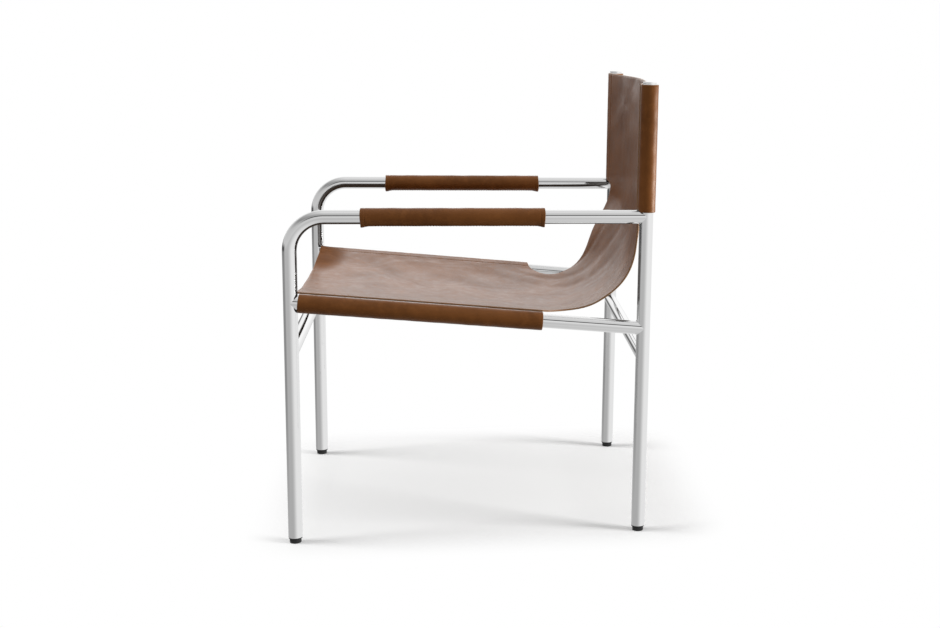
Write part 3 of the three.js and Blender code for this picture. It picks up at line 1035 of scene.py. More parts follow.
@dataclass
class TubeFrame:
    """The welded steel frame with its caps and glides.

    Attributes:
        lines: The frame's centre lines.
        finishes: The chair's materials.
        gap: What touching pieces keep between them.
        cap_height: How far a cap stands above its tube.
        cap_edge: The rounding of a cap's rim.
        cap_crown: How far a cap's middle rises above its rim.
        cap_dome: Shares of the tube's radius, and how much of the crown the cap has risen there.
        cap_shank: A cap's depth in its tube.
        glide_radius: A glide's radius at the floor.
        glide_edge: The rounding of a glide's foot.
        collar_radius: A glide's radius under the tube's end.
        collar: The collar's height.
        glide_shank: A glide's depth in its tube.
        arc_steps: How many points follow each rounding.
    """

    lines: ChairLines
    finishes: Finishes
    gap: float = 0.3 * MM
    cap_height: float = 3 * MM
    cap_edge: float = 0.9 * MM
    cap_crown: float = 0.35 * MM
    cap_dome: Stops = ((0.5, 0.75), (0.05, 1.0))
    cap_shank: float = 16 * MM
    glide_radius: float = 10.25 * MM
    glide_edge: float = 1.2 * MM
    collar_radius: float = 12 * MM
    collar: float = 1.6 * MM
    glide_shank: float = 22 * MM
    arc_steps: int = 6

    def build(self) -> None:
        """Builds every piece of the frame."""
        for side in Side:
            self._side_tubes(side)
            self._caps_and_glides(side)
        self._crossbars()

    def _dress(self, name: str, skin: Skin, node: str, slot: Slot = Slot.CHROME) -> None:
        """Makes a piece of a skin and lets it stand for a node."""
        finish = self.finishes.chrome if slot is Slot.CHROME else self.finishes.plastic
        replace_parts(skin.to_piece(name, slot, [finish]), node)

    def _side_tubes(self, side: Side) -> None:
        """Builds one side's bent leg and arm, its upright and its seat rail.

        Args:
            side: The chair's side.
        """
        lines = self.lines
        x = side.value * lines.half_spacing
        rise = lines.arm_height - lines.arm_bend - lines.glide_height
        reach = lines.upright_point(lines.arm_height)[1] - lines.front - lines.arm_bend
        quarter = math.pi / 2
        leg = CentreLine(lines.leg_point(lines.glide_height, x), UPWARDS, REARWARDS,
                         rise + quarter * lines.arm_bend + reach, rise, lines.arm_bend, quarter)
        foot = lines.upright_point(lines.glide_height, x)
        height = float(np.linalg.norm(lines.upright_point(lines.upright_top, x) - foot))
        upright = CentreLine(foot, lines.along_upright, lines.before_upright, height)
        rail = CentreLine(lines.rail_point(0, x), lines.along_rail, lines.above_rail, lines.rail_length())
        size, leg_bar, upright_bar = (lines.tube, lines.bore), lines.leg_bar(x), lines.upright_bar(x)
        for name, tube, node in (
                ("leg_and_arm", Tube(leg, *size, end_bar=upright_bar), "front_leg_arm_tube"),
                ("upright", Tube(upright, *size), "rear_upright_tube"),
                ("rail", Tube(rail, *size, start_bar=leg_bar, end_bar=upright_bar), "seat_rail")):
            self._dress(f"{side.word}_{name}", tube.skin(), f"{side.word}_{node}")

    def _crossbars(self) -> None:
        """Builds the tubes from side to side, between the front legs and between the uprights."""
        lines = self.lines
        half = lines.half_spacing
        for end, height, point_at, bar_at in (
                ("front", lines.front_bar_height, lines.leg_point, lines.leg_bar),
                ("rear", lines.rear_bar_height, lines.upright_point, lines.upright_bar)):
            line = CentreLine(point_at(height, -half), ACROSS, UPWARDS, 2 * half)
            tube = Tube(line, lines.tube, lines.bore, start_bar=bar_at(-half), end_bar=bar_at(half))
            self._dress(f"{end}_bar", tube.skin(), f"{end}_crossbar")

    def _rounded(self, radius: float, height: float, edge: float,
                 outwards: bool) -> list[tuple[float, float]]:
        """Outline points of a round edge at an outer corner, read upwards.

        Args:
            radius: The corner's radius from the axis.
            height: The corner's height.
            edge: The rounding.
            outwards: Whether the outline comes from a flat end below, instead of going to one above.

        Returns:
            Radii and heights.
        """
        turn = np.linspace(0, math.pi / 2, self.arc_steps)
        if outwards:
            return [(radius - edge + edge * math.sin(t), height + edge - edge * math.cos(t)) for t in turn]
        return [(radius - edge + edge * math.cos(t), height - edge + edge * math.sin(t)) for t in turn]

    def _caps_and_glides(self, side: Side) -> None:
        """Builds one side's cap and its two glides.

        Args:
            side: The chair's side.
        """
        lines, word = self.lines, side.word
        x = side.value * lines.half_spacing
        plug = lines.bore - self.gap
        cap = [(plug, -self.cap_shank), (plug, self.gap), (lines.tube, self.gap)]
        cap += self._rounded(lines.tube, self.cap_height, self.cap_edge, outwards=False)
        cap += [(share * lines.tube, self.cap_height + self.cap_crown * rise)
                for share, rise in self.cap_dome]
        top = lines.upright_point(lines.upright_top, x)
        piece = TurnedPiece(top, lines.along_upright, np.array(cap)).skin()
        self._dress(f"{word}_cap", piece, f"{word}_upright_cap")
        under = lines.glide_height - self.gap
        glide = self._rounded(self.glide_radius, 0, self.glide_edge, outwards=True)
        glide += [(self.glide_radius, under - self.collar)]
        glide += [(self.collar_radius, under - self.collar), (self.collar_radius, under)]
        glide += [(plug, under), (plug, under + self.glide_shank)]
        for place, foot in (("front", lines.leg_point(0, x)), ("rear", lines.upright_point(0, x))):
            piece = TurnedPiece(foot, UPWARDS, np.array(glide)).skin()
            self._dress(f"{word}_{place}_foot", piece, f"{word}_{place}_glide", Slot.PLASTIC)


# Leather


@dataclass(frozen=True)
class SlingCut:
    """How the sling's leather is cut and sewn.

    Attributes:
        thickness: The leather's thickness.
        clearance: What the leather keeps to the tube and to the leather over it.
        seat_slack: How loose the seat sleeves hang on their rails, on the diameter.
        margin_inset: A tube's axis to the panel's cut edge.
        seam_reach: A tube's axis to the inner edge of a sleeve's seam.
        seam_flange: How far a sleeve's two layers lie together.
        sleeve_start: The front leg's axis to the seat sleeve's front, along the rail.
        sleeve_length: The seat sleeve's length.
        back_bottom: The back sleeve's lower end.
        top: The upper end of panel and back sleeves.
        panel_start: The front leg's axis to the panel's front edge, along the rail.
        front_sag: The panel's depth between the rails, at its front.
        top_sag: Its depth between the uprights, at its top.
        bend_start: Where the panel leaves the rail's line, from the front leg's axis.
        seat_handle: How far the seat's direction carries into the bend.
        back_handle: How far the back's direction carries into the bend.
        notch_depth: The greatest depth of the cut-outs between seat sleeves and back sleeves.
        notch_lead: The seat sleeve's end to the deepest place of the cut-out.
        notch_top_depth: The cut-out's depth under the back sleeve.
        notch_closing: How far before the back sleeve the edge turns out to it.
        stitch_inset: The panel's cut edge to its line of stitches.
        stitch_pitch: From stitch to stitch.
    """

    thickness: float = 3.2 * MM
    clearance: float = 0.3 * MM
    seat_slack: float = 1.5 * MM
    margin_inset: float = 15 * MM
    seam_reach: float = 36 * MM
    seam_flange: float = 11 * MM
    sleeve_start: float = 14 * MM
    sleeve_length: float = 426 * MM
    back_bottom: float = 597.5 * MM
    top: float = 824 * MM
    front_sag: float = 18 * MM
    top_sag: float = 34 * MM
    panel_start: float = 6.5 * MM
    bend_start: float = 458 * MM
    seat_handle: float = 142 * MM
    back_handle: float = 12 * MM
    notch_depth: float = 66 * MM
    notch_lead: float = 60 * MM
    notch_top_depth: float = 30 * MM
    notch_closing: float = 12 * MM
    stitch_inset: float = 15.5 * MM
    stitch_pitch: float = 6 * MM

    @property
    def notch_start(self) -> float:
        """Where the cut-outs start, along the panel."""
        return self.sleeve_start + self.sleeve_length - self.panel_start

    @property
    def notch_deepest(self) -> float:
        """Where they are deepest, along the panel."""
        return self.notch_start + self.notch_lead


@dataclass(frozen=True)
class SleeveSection:
    """The cut through a sling sleeve, square to its tube: its first axis is inboard, its second towards the
    sitter.

    Attributes:
        tube: The tube's radius.
        cut: How the leather is cut.
        slack: How loose the sleeve is, on the diameter.
        slope: How steeply the panel leaves it, in radians.
    """

    tube: float
    cut: SlingCut
    slack: float
    slope: float

    @property
    def inner(self) -> float:
        """The sleeve's inner radius."""
        return self.tube + self.cut.clearance + self.slack / 2

    @property
    def centre(self) -> Array:
        """The middle of the sleeve's round part, which hangs lower than the tube's by half the slack."""
        return np.array([0, -self.slack / 2])

    def panel_lift(self) -> float:
        """Works out how high the panel lies on the sleeve.

        Returns:
            The height above the tube's axis of the panel's middle surface, at its cut edge.
        """
        cut = self.cut
        to_panel = self.inner + cut.thickness + cut.clearance + cut.thickness / 2
        return (to_panel - cut.margin_inset * math.sin(self.slope)) / math.cos(self.slope) - self.slack / 2

    def on_tangent(self, radius: float, reach: float) -> Array:
        """The point at an inboard reach on the sloping line that touches the top of a circle."""
        height = (radius - reach * math.sin(self.slope)) / math.cos(self.slope) - self.slack / 2
        return np.array([reach, height])

    def middle_line(self, spacing: float = 1.1 * MM, arc_points: int = 160, easing: int = 3) -> Array:
        """The leather's middle, from the seam's inner edge over and round the tube and back under the seam.

        It is a tangent, an arc round the tube, a second tangent to where the layers meet, and a stretch
        along the upper layer. The corner where they meet is eased by averaging neighbours.

        Args:
            spacing: The distance between points.
            arc_points: How many points the arc is drawn with.
            easing: How often neighbours are averaged.

        Returns:
            The points.
        """
        cut = self.cut
        radius = self.inner + cut.thickness / 2
        under = self.inner - cut.thickness / 2
        meeting = self.on_tangent(under, cut.seam_reach - cut.seam_flange)
        to_meeting = meeting - self.centre
        towards_it = math.atan2(to_meeting[1], to_meeting[0])
        last = towards_it - math.acos(radius / np.linalg.norm(to_meeting)) + TURN
        turn = np.linspace(math.pi / 2 - self.slope, last, arc_points)
        arc = self.centre + radius * np.stack([np.cos(turn), np.sin(turn)], axis=-1)
        ends = [self.on_tangent(radius, cut.seam_reach)], [meeting, self.on_tangent(under, cut.seam_reach)]
        rough = np.concatenate([ends[0], arc, ends[1]])
        distance = distances_along(rough)
        even = np.linspace(0, distance[-1], round(distance[-1] / spacing))
        line = np.stack([np.interp(even, distance, rough[:, axis]) for axis in range(2)], axis=-1)
        for _ in range(easing):
            line[1:-1] = (line[:-2] + 2 * line[1:-1] + line[2:]) / 4
        return line


class SlingPath:
    """The line that the panel's edges follow from the seat's front to the back's top, in the side plane."""

    def __init__(self, lines: ChairLines, cut: SlingCut, seat: SleeveSection, back: SleeveSection,
                 bend_points: int = 800) -> None:
        """Joins a straight run on the seat, a cubic curve through the bend and a straight run up the back.

        Args:
            lines: The frame's centre lines.
            cut: How the leather is cut.
            seat: The seat sleeves' section.
            back: The back sleeves' section.
            bend_points: How many points the bend is drawn with.
        """
        on_seat = [lines.rail_point(distance) + seat.panel_lift() * lines.above_rail
                   for distance in (cut.panel_start, cut.bend_start)]
        on_back = [lines.upright_point(height) + back.panel_lift() * lines.before_upright
                   for height in (cut.back_bottom, cut.top)]
        handles = (on_seat[1] + cut.seat_handle * lines.along_rail,
                   on_back[0] - cut.back_handle * lines.along_upright)
        share = np.linspace(0, 1, bend_points)[:, None]
        bend = ((1 - share) ** 3 * on_seat[1] + 3 * (1 - share) ** 2 * share * handles[0]
                + 3 * (1 - share) * share ** 2 * handles[1] + share ** 3 * on_back[0])
        self._points = np.concatenate([[on_seat[0]], bend, [on_back[1]]])
        self._distance = distances_along(self._points)
        self._heading = np.unwrap(np.arctan2(*np.diff(self._points[:, [2, 1]], axis=0).T))
        self._heading_at = (self._distance[1:] + self._distance[:-1]) / 2
        self.length = float(self._distance[-1])
        self.back_start = float(self._distance[-2])

    def at(self, distance: Array) -> tuple[Array, Array, Array]:
        """The line's place in Y and Z and its angle above +Y at distances along it."""
        y, z = (np.interp(distance, self._distance, self._points[:, axis]) for axis in (1, 2))
        return y, z, np.interp(distance, self._heading_at, self._heading)


@dataclass(frozen=True)
class SoftFold:
    """A pair of soft folds that run from the seat sleeves' ends into the bend.

    Attributes:
        start: How far from the middle each is at the sleeves' ends.
        drift: How far it moves in for each metre along the panel.
        width: Its half width.
        span: How far it reaches along the panel from its middle.
    """

    start: float
    drift: float
    width: float
    span: float


@dataclass(frozen=True)
class PanelGrid:
    """How closely the panel's grid is spaced.

    Attributes:
        seat_rows: How many rows lie along the seat sleeves.
        round_rows: How many follow each quarter ellipse of the cut-outs.
        bend_rows: How many lie between those two.
        back_rows: How many lie along the back sleeves.
        core: Half the width of the panel's even middle.
        core_columns: How many columns that has.
        side_columns: How many lie between it and a seam.
        seam: The width that has the closest columns, for the stitches' groove.
        seam_columns: How many columns that has.
    """

    seat_rows: int = 100
    round_rows: int = 30
    bend_rows: int = 76
    back_rows: int = 52
    core: float = 150 * MM
    core_columns: int = 52
    side_columns: int = 15
    seam: float = 28 * MM
    seam_columns: int = 25


@dataclass
class Sling:
    """The leather panel that makes seat and back, its four sleeves and their stitches.

    Attributes:
        lines: The frame's centre lines.
        finishes: The chair's materials.
        cut: How the leather is cut.
        grid: How closely the panel's grid is spaced.
        seed: The start of the random draws.
        wave: The height of the panel's slow unevenness.
        wave_count: How many crossed waves it has.
        wave_lengths: Their least and greatest length.
        calm: How far in from a margin the waves have grown to their full height.
        lopsided: How much lower the left margin hangs in the bend, and how much higher the right one.
        lopsided_at: Where it does so most, along the panel.
        lopsided_width: How far it reaches from there.
        forward: How much further forward the right margin stands above the bend.
        forward_at: Where it does so most, along the panel.
        forward_width: How far that reaches from there.
        groove: The depth that the stitches pull the panel down.
        groove_width: That groove's half width.
        groove_end: How far past the sleeves it dies away.
        pucker: The height of the ripples along the seat's margins.
        pucker_inset: The panel's cut edge to the ripples' middle.
        pucker_width: Their half width.
        pucker_length: From ripple to ripple.
        pucker_full: How far along the panel they keep their height.
        pucker_end: Where they have died away.
        fold: The height of the soft folds.
        folds: The soft folds.
        lift: How far the right front corner curls up.
        lift_reach: How far that curl reaches along and across the panel.
        slack_wave: The height of the sleeves' unevenness.
        slack_lengths: The lengths of its two waves.
        slack_start: How far outboard of the tube's axis it starts.
        slack_full: Where it has its full height.
        skew: How far the seat sleeves' ends are cut out of square.
        skew_turns: How often that sways round the sleeve.
        seat_sleeve_rows: How many rows a seat sleeve has.
        back_sleeve_rows: How many rows a back sleeve has.
        stitch_margin: How far from a sleeve's ends the stitches stop.
        stitch_share: A stitch's length, as a share of its pitch.
        stitch_rise: How far a stitch's middle stands above the leather.
    """

    lines: ChairLines
    finishes: Finishes
    cut: SlingCut = SlingCut()
    grid: PanelGrid = PanelGrid()
    seed: int = 7
    wave: float = 0.9 * MM
    wave_count: int = 9
    wave_lengths: tuple[float, float] = (70 * MM, 260 * MM)
    calm: float = 60 * MM
    lopsided: float = 12 * MM
    lopsided_at: float = 604 * MM
    lopsided_width: float = 66 * MM
    forward: float = 8 * MM
    forward_at: float = 626 * MM
    forward_width: float = 50 * MM
    groove: float = 0.45 * MM
    groove_width: float = 1.6 * MM
    groove_end: float = 4 * MM
    pucker: float = 0.5 * MM
    pucker_inset: float = 34 * MM
    pucker_width: float = 20 * MM
    pucker_length: float = 37 * MM
    pucker_full: float = 0.05
    pucker_end: float = 0.32
    fold: float = 1.1 * MM
    folds: tuple[SoftFold, ...] = (
        SoftFold(start=218 * MM, drift=0.26, width=9 * MM, span=0.1),
        SoftFold(start=178 * MM, drift=0.45, width=13 * MM, span=0.13),
        SoftFold(start=120 * MM, drift=0.5, width=17 * MM, span=0.16),
    )
    lift: float = 2.5 * MM
    lift_reach: float = 48 * MM
    slack_wave: float = 0.16 * MM
    slack_lengths: tuple[float, float] = (83 * MM, 31 * MM)
    slack_start: float = -2 * MM
    slack_full: float = 8 * MM
    skew: float = 0.5 * MM
    skew_turns: float = 1.5
    seat_sleeve_rows: int = 110
    back_sleeve_rows: int = 62
    stitch_margin: float = 5 * MM
    stitch_share: float = 0.78
    stitch_rise: float = 0.1 * MM

    def __post_init__(self) -> None:
        """Works out the sections and the path, and draws the unevenness."""
        cut = self.cut
        self.half_width = self.lines.half_spacing - cut.margin_inset
        mean_sag = (cut.front_sag + cut.top_sag) / 2
        self.seat = SleeveSection(self.lines.tube, cut, cut.seat_slack, self._margin_slope(mean_sag))
        self.back = SleeveSection(self.lines.tube, cut, 0.0, self._margin_slope(cut.top_sag))
        self.path = SlingPath(self.lines, cut, self.seat, self.back)
        draws = np.random.default_rng(self.seed)
        self._lengths = draws.uniform(*self.wave_lengths, (self.wave_count, 2))
        self._phases = draws.uniform(0, TURN, (self.wave_count, 2))

    def _margin_slope(self, sag: float) -> float:
        """How steeply the panel leaves its sleeves where it sags by a given amount."""
        return math.atan(2 * sag / self.half_width)

    def build(self) -> None:
        """Builds the panel, then each side's sleeves and stitches."""
        self._panel()
        for side in Side:
            self._seat_sleeve(side)
            self._back_sleeve(side)
            self._stitches(side)

    def _half_width_at(self, distance: Array) -> Array:
        """Half the panel's width: full along the sleeves, cut out between them.

        The cut-out starts as a quarter ellipse, goes on straight towards the back and closes as a second
        quarter ellipse under the back sleeve.

        Args:
            distance: Distances along the path.

        Returns:
            The half widths.
        """
        cut, back_start = self.cut, self.path.back_start
        ahead = np.clip((cut.notch_deepest - distance) / cut.notch_lead, 0, 1)
        share = np.clip((distance - cut.notch_deepest) / (back_start - cut.notch_deepest), 0, 1)
        depth = cut.notch_depth + (cut.notch_top_depth - cut.notch_depth) * share
        closed = np.clip(1 - (back_start - distance) / cut.notch_closing, 0, 1)
        return self.half_width - depth * np.sqrt(1 - ahead ** 2) * np.sqrt(1 - closed ** 2)

    def _relief(self, distance: Array, x: Array) -> Array:
        """How far the leather lies below its plain hung shape.

        It is the sum of slow crossed sine waves, a lopsided hang in the bend, a right margin that stands
        forward above it, a groove under each line of stitches, ripples along the seat's margins, soft folds
        from the seat sleeves' ends through the bend, and a corner that curls up.

        Args:
            distance: Distances along the path.
            x: Places across the width.

        Returns:
            The depths.
        """
        cut, back_start = self.cut, self.path.back_start
        reach = np.abs(x)
        waves = sum(
            sine_wave(distance, length[0], phase[0]) * sine_wave(x, length[1], phase[1])
            for length, phase in zip(self._lengths, self._phases)
        ) / math.sqrt(self.wave_count)
        depth = self.wave * waves * smooth_step(self.half_width - reach, 0, self.calm)
        across = x / self._half_width_at(distance)
        depth = depth + self.lopsided * bump(distance, self.lopsided_at, self.lopsided_width) * across
        forward = self.forward * bump(distance, self.forward_at, self.forward_width)
        depth = depth - forward * np.clip(-across, 0, 1) ** 2
        sewn = (smooth_step(-distance, -cut.notch_start - self.groove_end, -cut.notch_start)
                + smooth_step(distance, back_start - self.groove_end, back_start))
        at_seam = bump(reach, self.half_width - cut.stitch_inset, self.groove_width)
        depth = depth + self.groove * sewn * at_seam
        near_margin = bump(reach, self.half_width - self.pucker_inset, self.pucker_width)
        fading = smooth_step(-distance, -self.pucker_end, -self.pucker_full)
        ripple = sine_wave(distance, self.pucker_length, np.sign(x)) * fading
        depth = depth + self.pucker * near_margin * ripple
        for fold in self.folds:
            middle = fold.start - fold.drift * (distance - cut.notch_start)
            lengthways = bump(distance, cut.notch_deepest + fold.span / 2, fold.span)
            depth = depth + self.fold * lengthways * bump(reach, middle, fold.width)
        to_front = smooth_step(-distance, -self.lift_reach, 0)
        to_right = smooth_step(-x, self.half_width - self.lift_reach, self.half_width)
        return depth - self.lift * (to_front * to_right)

    def surface(self, distance: Array, x: Array) -> Array:
        """The panel's middle surface.

        Across its width the panel hangs in a parabola between its margins, square to the path and deeper
        towards the top, with the relief on top of that.

        Args:
            distance: Distances along the path.
            x: Places across the width.

        Returns:
            The points.
        """
        y, z, heading = self.path.at(distance)
        sag = self.cut.front_sag + (self.cut.top_sag - self.cut.front_sag) * distance / self.path.length
        depth = sag * (1 - (x / self.half_width) ** 2) + self._relief(distance, x)
        return np.stack([x, y + np.sin(heading) * depth, z - np.cos(heading) * depth], axis=-1)

    def _panel(self) -> None:
        """Builds the panel, with rows closer along the cut-outs and columns closer along the margins."""
        cut, path, grid = self.cut, self.path, self.grid
        quarter = np.linspace(0, math.pi / 2, grid.round_rows)
        closing = path.back_start - cut.notch_closing
        runs = [np.linspace(0, cut.notch_start, grid.seat_rows),
                cut.notch_start + cut.notch_lead * (1 - np.cos(quarter)),
                np.linspace(cut.notch_deepest, closing, grid.bend_rows),
                closing + cut.notch_closing * np.sin(quarter),
                np.linspace(path.back_start, path.length, grid.back_rows)]
        distance = np.concatenate([runs[0]] + [run[1:] for run in runs[1:]])
        core, seam_start = grid.core, self.half_width - grid.seam
        inner = np.linspace(-core, core, grid.core_columns)
        outer = np.concatenate([np.linspace(core, seam_start, grid.side_columns)[1:],
                                np.linspace(seam_start, self.half_width, grid.seam_columns)[1:]])
        share = (outer - core) / (self.half_width - core)
        margin = core + share * (self._half_width_at(distance)[:, None] - core)
        even = np.repeat(-inner[None], len(distance), axis=0)
        x = np.concatenate([margin[:, ::-1], even, -margin], axis=1)
        middle = self.surface(np.repeat(distance[:, None], x.shape[1], axis=1), x)
        piece = LeatherSheet(middle, cut.thickness).to_piece("seat_and_back", self.finishes.leather)
        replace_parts(piece, "sling_panel")

    def _sleeve(self, side: Side, part: str, section: SleeveSection, rows: Array, foot: Array,
                along: Array, towards_sitter: Array, tube: str) -> None:
        """Builds a sleeve: its section carried along the tube, with slow waves on its outboard half.

        Args:
            side: The chair's side.
            part: Whether it is a seat or a back sleeve.
            section: Its section.
            rows: Distances along the tube, a row for each step and a column for each point of the section.
            foot: Where the distances start, on the tube's axis in the chair's middle plane.
            along: The tube's direction.
            towards_sitter: The section's second axis.
            tube: Not used.
        """
        line = section.middle_line()
        offset = line[:, :1] * ACROSS + line[:, 1:] * towards_sitter
        middle = foot - self.lines.half_spacing * ACROSS + rows[..., None] * along + offset
        turn = np.arctan2(line[:, 1], line[:, 0])
        long, short = self.slack_lengths
        waves = sine_wave(rows, long, 2 * turn) + sine_wave(rows, short, -turn)
        loose = self.slack_wave * smooth_step(-line[:, 0], self.slack_start, self.slack_full)
        middle = middle + (waves * loose)[..., None] * unit(offset - section.centre[1] * towards_sitter)
        if side is Side.LEFT:
            middle = (middle * (-1, 1, 1))[:, ::-1]
        sheet = LeatherSheet(middle, self.cut.thickness)
        piece = sheet.to_piece(f"{side.word}_{part}_wrap", self.finishes.leather)
        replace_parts(piece, f"{side.word}_{part}_sleeve")

    def _seat_sleeve(self, side: Side) -> None:
        """Builds the sleeve round a seat rail, its ends cut a little out of square.

        Args:
            side: The chair's side.
        """
        columns = len(self.seat.middle_line())
        skew = self.skew * np.sin(np.linspace(0, self.skew_turns * TURN, columns))
        start, length = self.cut.sleeve_start, self.cut.sleeve_length
        rows = np.linspace(start + skew, start + length - skew, self.seat_sleeve_rows)
        self._sleeve(side, "seat", self.seat, rows, self.lines.rail_point(0), self.lines.along_rail,
                     self.lines.above_rail, "seat_rail")

    def _back_sleeve(self, side: Side) -> None:
        """Builds the sleeve round an upright, cut away in front by a round that clears the arm.

        Args:
            side: The chair's side.
        """
        lines, line = self.lines, self.back.middle_line()
        foot = lines.upright_point(self.cut.back_bottom)
        clear = lines.tube + 2 * self.cut.clearance
        arched = np.sqrt(np.clip(clear ** 2 - line[:, 0] ** 2, 0, None))
        over_arm = lines.arm_height + arched - self.cut.back_bottom
        start = np.where(line[:, 1] > 0, np.maximum(over_arm, 0), 0)
        length = float(np.linalg.norm(lines.upright_point(self.cut.top) - foot))
        rows = start + np.linspace(0, 1, self.back_sleeve_rows)[:, None] * (length - start)
        self._sleeve(side, "back", self.back, rows, foot, lines.along_upright, lines.before_upright,
                     "rear_upright_tube")

    def _stitches(self, side: Side) -> None:
        """Sews a margin of the panel to its sleeves, one line of stitches on the seat and one on the back.

        Args:
            side: The chair's side.
        """
        cut, path = self.cut, self.path
        step = 0.1 * MM  # to a neighbouring point, from which the stitches' directions come
        x = side.value * (self.half_width - cut.stitch_inset)
        for part, start, end in (("seat", cut.sleeve_start - cut.panel_start, cut.notch_start),
                                 ("back", path.back_start, path.length)):
            distance = np.arange(start + self.stitch_margin, end - self.stitch_margin, cut.stitch_pitch)
            sideways = np.full_like(distance, x)
            here = self.surface(distance, sideways)
            along = unit(self.surface(distance + step, sideways) - here)
            up = unit(np.cross(along, unit(self.surface(distance, sideways - step) - here)))
            centres = here + up * (cut.thickness / 2 + self.stitch_rise)
            row = Stitches(centres, along, up, self.stitch_share * cut.stitch_pitch)
            row.to_piece(f"{side.word}_{part}_stitches", self.finishes.thread)


@dataclass
class ArmWraps:
    """The leather round each arm, its two edges brought together underneath and sewn edge to edge.

    Attributes:
        lines: The frame's centre lines.
        finishes: The chair's materials.
        thickness: The leather's thickness.
        clearance: What it keeps to the tube.
        seam_gap: The gap between its edges.
        lip: How far the edges hang open at the ends.
        lip_length: How far from an end they do so.
        lip_spread: How far round the arm from the seam they do so, in radians.
        crease: The depth of the line pressed in near each end.
        crease_inset: That line's distance from the end.
        crease_width: Its half width.
        wave: The height of the leather's slow waves.
        wave_lengths: The lengths of the two.
        skew: How far the ends are cut out of square.
        skew_phase: Where that is most, in radians.
        end: The length at each end that has the closest rows.
        end_rows: How many rows that has.
        middle_rows: How many rows lie between the ends.
        columns: How many points go round.
        stitch_pitch: From stitch to stitch.
        stitch_reach: How far a stitch reaches across the seam.
        stitch_slant: How far it leans along the arm for each metre across.
        stitch_dip: How far its ends go below its middle.
        stitch_rise: How far its middle stands off the leather.
    """

    lines: ChairLines
    finishes: Finishes
    thickness: float = 3.2 * MM
    clearance: float = 0.3 * MM
    seam_gap: float = 0.9 * MM
    lip: float = 2.6 * MM
    lip_length: float = 15 * MM
    lip_spread: float = math.radians(38)
    crease: float = 0.4 * MM
    crease_inset: float = 7 * MM
    crease_width: float = 0.9 * MM
    wave: float = 0.1 * MM
    wave_lengths: tuple[float, float] = (71 * MM, 43 * MM)
    skew: float = 0.5 * MM
    skew_phase: float = 0.6
    end: float = 20 * MM
    end_rows: int = 26
    middle_rows: int = 60
    columns: int = 96
    stitch_pitch: float = 5 * MM
    stitch_reach: float = 6.5 * MM
    stitch_slant: float = 0.45
    stitch_dip: float = 1.0 * MM
    stitch_rise: float = 0.15 * MM

    @property
    def radius(self) -> float:
        """The radius of the leather's middle."""
        return self.lines.tube + self.clearance + self.thickness / 2

    @property
    def length(self) -> float:
        """A sleeve's length."""
        low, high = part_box("left_arm_sleeve")
        return high[1] - low[1]

    def start(self, side: Side) -> float:
        """The Y of a sleeve's front end."""
        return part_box(f"{side.word}_arm_sleeve")[0][1]

    def build(self) -> None:
        """Builds both arm sleeves and their stitches."""
        for side in Side:
            self._sleeve(side)
            self._stitches(side)

    def _swelling(self, distance: Array, turn: Array) -> Array:
        """How far the leather stands off its plain round.

        It is a lip along the seam near both ends, less a pressed line near each end, plus slow waves.

        Args:
            distance: Distances from the sleeve's front end.
            turn: Angles from the seam.

        Returns:
            The distances from the plain round.
        """
        to_end = np.minimum(distance, self.length - distance)
        from_seam = np.minimum(turn, TURN - turn)
        lip = self.lip * (1 - smooth_step(to_end, 0, self.lip_length)) * bump(from_seam, 0, self.lip_spread)
        line = self.crease * bump(to_end, self.crease_inset, self.crease_width)
        long, short = self.wave_lengths
        waves = sine_wave(distance, long, turn) + sine_wave(distance, short, -2 * turn)
        return lip - line + self.wave * waves

    def _points(self, side: Side, distance: Array, turn: Array) -> Array:
        """Points of the middle surface.

        Args:
            side: The chair's side.
            distance: Distances from the sleeve's front end.
            turn: Angles from the seam, which is underneath, first outboard.

        Returns:
            The points, at the swollen radius round the arm's axis.
        """
        radius = self.radius + self._swelling(distance, turn)
        x = side.value * (self.lines.half_spacing + radius * np.sin(turn))
        y = self.start(side) + distance
        return np.stack([x, y, self.lines.arm_height - radius * np.cos(turn)], axis=-1)

    def _sleeve(self, side: Side) -> None:
        """Builds one arm sleeve, with rows closer at its ends, which are cut a little out of square.

        Args:
            side: The chair's side.
        """
        gap = self.seam_gap / 2 / self.radius
        turn = np.linspace(gap, TURN - gap, self.columns)
        end, rear = self.end, self.length - self.end
        rows = np.concatenate([
            np.linspace(0, end, self.end_rows), np.linspace(end, rear, self.middle_rows)[1:],
            np.linspace(rear, self.length, self.end_rows)[1:]])
        uneven = self.skew * np.sin(2 * turn + self.skew_phase) * (1 - 2 * rows[:, None] / self.length)
        distance, turn = rows[:, None] + uneven, np.repeat(turn[None], len(rows), axis=0)
        middle = self._points(side, distance, turn)
        if side is Side.RIGHT:
            middle = middle[:, ::-1]
        sheet = LeatherSheet(middle, self.thickness)
        piece = sheet.to_piece(f"{side.word}_arm_wrap", self.finishes.leather)
        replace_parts(piece, f"{side.word}_arm_sleeve")

    def _stitches(self, side: Side) -> None:
        """Sews the edges together with slanting stitches across the seam.

        Args:
            side: The chair's side.
        """
        distance = np.arange(self.lip_length, self.length - self.lip_length, self.stitch_pitch)
        x = np.full_like(distance, side.value * self.lines.half_spacing)
        skin = self.radius + self.thickness / 2 + self.stitch_rise
        under = np.full_like(distance, self.lines.arm_height - skin)
        centres = np.stack([x, self.start(side) + distance, under], axis=-1)
        slant = unit(ACROSS + self.stitch_slant * REARWARDS)
        along = np.repeat(slant[None], len(distance), axis=0)
        down = np.repeat(-UPWARDS[None], len(distance), axis=0)
        row = Stitches(centres, along, down, self.stitch_reach, dip=self.stitch_dip)
        row.to_piece(f"{side.word}_arm_stitches", self.finishes.thread)


# Studio


